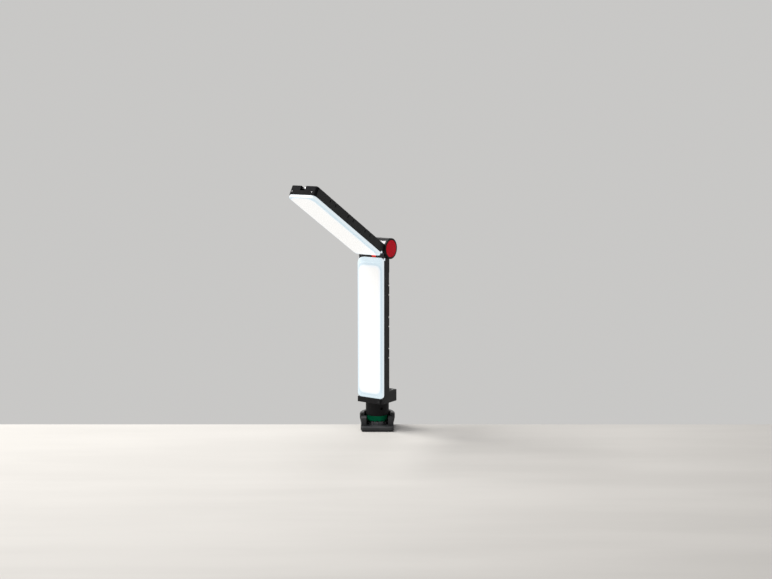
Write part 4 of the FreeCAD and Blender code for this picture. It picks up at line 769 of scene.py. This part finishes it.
def threaded_screw():
    """The clamp screw: a threaded shaft, a plain neck and a ball end.

    At height z and angle a the shaft's radius is the crest radius less the thread's depth times a rounded
    trapezium wave of z / pitch - a / (2 pi), faded out at both ends of the thread.
    """
    low, high = extent("clamp_screw")
    crest = (high[0] - low[0]) / 2
    centre = (low + high) / 2
    around = 48
    pitch, depth, wave_slope, crest_share = 2.5, 1.0, 4, 0.55
    ball, neck, neck_length, neck_overlap = 3.0, 2.0, 3.0, 1.2
    ball_foot, ball_tip = 0.75, 0.02
    plain_length, start_fade, end_fade, end_gap = 22.0, 2.0, 1.5, 0.8
    chamfer, shoulder, neck_fillet = 0.8, 0.9, 0.4
    first_level, top_gap, level_step = low[2] + 1.0, 0.6, 0.26
    top = high[2] - 2 * ball - neck_length + neck_overlap
    angle = np.linspace(0, 2 * math.pi, around, endpoint=False)
    levels = np.arange(first_level, top - top_gap, level_step)
    phase = (levels[:, None] / pitch - angle[None, :] / (2 * math.pi)) % 1.0
    wave = np.clip(np.abs(phase - 0.5) * wave_slope - crest_share, 0, 1)
    fade = (np.clip((levels - low[2] - plain_length) / start_fade, 0, 1)
            * np.clip((top - levels - end_gap) / end_fade, 0, 1))
    radius = crest - depth * wave * fade[:, None]
    height = np.repeat(levels[:, None], around, 1)
    shaft = np.stack([radius * np.cos(angle), radius * np.sin(angle), height], -1)
    foot = np.array([(crest - chamfer, low[2]), (crest, low[2] + chamfer)])
    arc = np.linspace(-math.pi / 2 + ball_foot, math.pi / 2 - ball_tip, 14)
    globe = np.stack([ball * np.cos(arc), high[2] - ball + ball * np.sin(arc)], -1)
    end = np.vstack([[(crest - shoulder, top), (neck + neck_fillet, top), (neck, top + neck_fillet)], globe])
    points, faces = lofted(np.vstack([spun(foot, around), shaft, spun(end, around)]))
    piece("threaded_screw", "clamp_screw", points + (centre[0], centre[1], 0), faces, 25.0)


threaded_screw()


def scalloped_knob():
    """The knob: eight finger scallops round a barrel, a stepped hub above and a dished foot below.

    A ring's point at angle a is drawn in by the scallop's depth times a cosine wave of eight periods, raised
    to a power that widens the lands between the scallops, and less so towards the hub and the dish.
    """
    low, high = extent("clamp_knob")
    centre = (low + high) / 2
    radius = (high[0] - low[0]) / 2
    bottom, top = low[2], high[2]
    bore, bore_end = 5.0, bottom + 4
    dish, dish_side, hub, hub_foot = radius * 0.55, radius * 0.66, radius * 0.5, radius * 0.55
    profile = rounded([(axis_gap, bottom + 1.6), (dish, bottom + 1.2), (dish_side, bottom + 0.1),
                       (radius * 0.9, bottom), (radius, bottom + 3), (radius, top - 5),
                       (radius * 0.86, top - 1.4), (hub_foot, top - 1.0), (hub, top),
                       (bore, top), (bore, bore_end)],
                      [1.0, 0.8, 1.4, 2.0, 2.0, 1.2, 0.6, 0.5, 0.2], 6)
    scallops, scallop_depth, sharpness, scallop_start, scallop_rise = 8, 0.15, 1.6, 0.68, 0.3

    def reach(angle, ring_radius, ring_height):
        wave = ((1 + np.cos(scallops * angle)) / 2) ** sharpness
        share = np.clip((ring_radius / radius - scallop_start) / scallop_rise, 0, 1)
        return 1 - scallop_depth * wave * share

    points, faces = lofted(spun(profile, 160, reach))
    piece("scalloped_knob", "clamp_knob", points + (centre[0], centre[1], 0), faces, 42.0)


scalloped_knob()


def pressure_foot_pieces():
    """The pressure pad and its rubber face, surfaces of revolution with rounded edges.

    The rubber's profile has five grip rings, evenly pitched, each a groove with sloping sides.
    """
    low, high = extent("pressure_pad_rubber")
    centre = (low + high) / 2
    at = (centre[0], centre[1], 0)
    radius, bottom, top = (high[0] - low[0]) / 2, low[2], high[2]
    grooves, first_groove, groove_margin = 5, 1.6, 2.6
    groove_width, groove_slope, groove_depth = 1.0, 0.25, 0.45
    steps = [(axis_gap, top)]
    for i in range(grooves):
        start = first_groove + i * (radius - groove_margin) / grooves
        end = start + groove_width
        steps += [(start, top), (start + groove_slope, top - groove_depth),
                  (end - groove_slope, top - groove_depth), (end, top)]
    steps += [(radius, top), (radius, bottom), (axis_gap, bottom)]
    profile = rounded(steps, [0.05] * (len(steps) - 4) + [0.4, 0.1], 4)
    points, faces = lofted(spun(profile))
    piece("foot_rubber", "pressure_pad_rubber", points + at, faces)
    low, high = extent("pressure_pad")
    radius, bottom, top = (high[0] - low[0]) / 2, low[2], high[2]
    hub, cone, bore, floor = 8.0, 9.6, 3.55, top - 2.4
    plate, cone_drop = top - 4.0, 1.2
    profile = rounded([(axis_gap, top), (radius, top), (radius, plate + cone_drop), (cone, plate),
                       (hub, plate - cone_drop), (hub, bottom), (bore, bottom), (bore, floor),
                       (axis_gap, floor)],
                      [0.5, 0.6, 1.0, 1.0, 0.5, 0.15, 0.1])
    points, faces = lofted(spun(profile))
    piece("foot_plate", "pressure_pad", points + at, faces)


pressure_foot_pieces()


def return_spring(node):
    """A wire coil: a small circle carried along a helix of four turns about X.

    At angle a of the helix the wire's middle lies at x = start + pitch * a / (2 pi), and its circle is set
    across the helix's own direction.
    """
    low, high = extent(node)
    centre = (low + high) / 2
    wire_radius = 0.25
    turns, steps_a_turn, around = 4, 28, 8
    angle = np.linspace(0, 1, turns * steps_a_turn) * turns * 2 * math.pi
    run = (high[1] - low[1]) / 2 - wire_radius
    rise = (high[0] - low[0] - 2 * wire_radius) / (2 * math.pi * turns)
    path = np.stack([low[0] + wire_radius + rise * angle, run * np.cos(angle), run * np.sin(angle)], -1)
    radial = np.stack([np.zeros_like(angle), np.cos(angle), np.sin(angle)], -1)
    along = np.stack([np.full_like(angle, rise), -run * np.sin(angle), run * np.cos(angle)], -1)
    along = along / np.linalg.norm(along, axis=1)[:, None]
    across = np.cross(along, radial)
    turned = np.linspace(0, 2 * math.pi, around, endpoint=False)[None, :, None]
    circle = np.cos(turned) * radial[:, None] + np.sin(turned) * across[:, None]
    points, faces = lofted(path[:, None] + wire_radius * circle)
    piece(node.replace("grip", "coil"), node, points + (0, centre[1], centre[2]), faces)


return_spring("grip_spring_left")
return_spring("grip_spring_right")


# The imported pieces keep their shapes, and get their finishes and softened edges

weld_distance, flat_angle, edge_angle, crease_angle = 0.002, 0.6, 35, 32
edge_widths = {
    "clamp_frame": 0.35, "upper_jaw_pad": 0.3, "ribbed_collar": 0.15, "swivel_bush": 0.25, "neck": 0.25,
    "lower_housing": 0.25, "upper_housing": 0.25, "upper_end_cap": 0.2, "chin_cover": 0.25,
    "rear_box_cover": 0.2, "hinge_cheek_left": 0.2, "hinge_cheek_right": 0.2, "hinge_knuckle": 0.2,
    "hinge_band": 0.12, "release_grip_left": 0.25, "release_grip_right": 0.25, "bar_roller": 0.2,
    "hanging_bar": 0.1,
}


def dress(name):
    """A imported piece's own finish, its flat faces made whole and its edges broken by a narrow rounding."""
    packed = nodes[name]
    for material_slot in packed.material_slots:
        material_slot.material = own_finishes.get(name, finishes[slot_of[name]])
    mesh = packed.data
    mesh.polygons.foreach_set("use_smooth", np.ones(len(mesh.polygons), bool))
    weld = packed.modifiers.new("weld", "WELD")
    weld.merge_threshold = weld_distance * MM
    whole = packed.modifiers.new("whole_faces", "DECIMATE")
    whole.decimate_type = "DISSOLVE"
    whole.angle_limit = math.radians(flat_angle)
    if name in edge_widths:
        rounding = packed.modifiers.new("edge_rounding", "BEVEL")
        rounding.width = edge_widths[name] * MM
        rounding.segments = 2
        rounding.limit_method = "ANGLE"
        rounding.angle_limit = math.radians(edge_angle)
        rounding.miter_outer = "MITER_ARC"
        rounding.use_clamp_overlap = True
    crease = packed.modifiers.new("creases", "EDGE_SPLIT")
    crease.split_angle = math.radians(crease_angle)
    shading = packed.modifiers.new("shading", "WEIGHTED_NORMAL")
    shading.keep_sharp = True


for name in nodes:
    dress(name)


# Bench and studio

# The clamp's upright back is this thick, and it stands off the bench's edge by this gap
upright_thickness, bench_gap = 12.0, 1.6
bench_edge = extent("clamp_frame")[1][1] - upright_thickness - bench_gap

lamp_target = (0, 0, 0.2)
backdrop_colour, surrounding_colour = (0.58, 0.575, 0.565, 1), (0.21, 0.21, 0.22, 1)


def bench_board(name, x, y, z, colour):
    """A pale board, its long edges rounded: a rounded rectangle of Y and Z carried along X."""
    outline = rounded([(y[0], z[0]), (y[1], z[0]), (y[1], z[1]), (y[0], z[1]), (y[0], z[0]), (y[1], z[0])],
                      [1.0, 1.2, 1.2, 1.0], 6)[1:-1]
    rings = [np.stack([np.full(len(outline), place), outline[:, 0], outline[:, 1]], -1) for place in x]
    points, faces = lofted(np.array(rings))
    mesh = bpy.data.meshes.new(name)
    mesh.from_pydata((points * MM).tolist(), [], [row for face in faces for row in face.tolist()])
    made, shader = finish(name + "_finish", colour, 0.9, specular=0.05)
    mottle(made, shader, "Base Color", 6.0, *shades(colour, 0.03), stretch=(0.3, 2.0, 2.0))
    mesh.materials.append(made)
    board = bpy.data.objects.new(name, mesh)
    bpy.context.scene.collection.objects.link(board)


bench_board("bench_top", (-900.0, 900.0), (-1300.0, bench_edge), (-30.0, 0.0), (0.62, 0.60, 0.57))


def softbox(name, place, width, height, power, colour):
    """A rectangular soft light that looks at the lamp."""
    lamp = bpy.data.lights.new(name, "AREA")
    lamp.shape = "RECTANGLE"
    lamp.size, lamp.size_y = width, height
    lamp.energy = power
    lamp.color = colour
    light = bpy.data.objects.new(name, lamp)
    light.matrix_world = aimed(np.array(place) - np.array(lamp_target), place).T.tolist()
    bpy.context.scene.collection.objects.link(light)


softbox("key_from_upper_left", (-0.98, 0.20, 1.55), 0.8, 0.8, 34.0, (1.0, 0.99, 0.97))
softbox("top_strip", (-0.1, 0.12, 1.7), 1.3, 0.4, 9.0, (1.0, 1.0, 1.0))
softbox("fill_from_front", (-1.5, -1.4, 0.7), 0.8, 0.8, 6.0, (0.98, 0.99, 1.0))


def studio_world():
    """An even grey light from all round, seen as a pale backdrop by the camera and in reflections."""
    world = bpy.data.worlds.new("studio")
    world.use_nodes = True
    tree = world.node_tree
    backdrop = tree.nodes["Background"]
    backdrop.inputs["Color"].default_value = backdrop_colour
    around = tree.nodes.new("ShaderNodeBackground")
    around.inputs["Color"].default_value = surrounding_colour
    path = tree.nodes.new("ShaderNodeLightPath")
    seen = tree.nodes.new("ShaderNodeMath")
    seen.operation = "MAXIMUM"
    through = tree.nodes.new("ShaderNodeMath")
    through.operation = "MAXIMUM"
    mix = tree.nodes.new("ShaderNodeMixShader")
    links = tree.links
    links.new(path.outputs["Is Camera Ray"], seen.inputs[0])
    links.new(path.outputs["Is Glossy Ray"], seen.inputs[1])
    links.new(seen.outputs[0], through.inputs[0])
    links.new(path.outputs["Is Transmission Ray"], through.inputs[1])
    links.new(through.outputs[0], mix.inputs[0])
    links.new(around.outputs[0], mix.inputs[1])
    links.new(backdrop.outputs[0], mix.inputs[2])
    links.new(mix.outputs[0], tree.nodes["World Output"].inputs["Surface"])
    bpy.context.scene.world = world


studio_world()


# The camera, fitted to the photograph

photo_width = 772
focal_pixels = 1300.0
camera_place = (12.15, -1783.98, 437.78)
camera_pitch = 7.76
camera_data = bpy.data.cameras.new("camera")
camera_data.sensor_width = 36.0
camera_data.lens = camera_data.sensor_width * focal_pixels / photo_width
camera_data.clip_end = 50.0
camera = bpy.data.objects.new("camera", camera_data)
camera.location = [value * MM for value in camera_place]
camera.rotation_euler = (math.radians(90 - camera_pitch), 0, 0)
bpy.context.scene.collection.objects.link(camera)
bpy.context.scene.camera = camera
bpy.context.scene.view_settings.view_transform = "Standard"
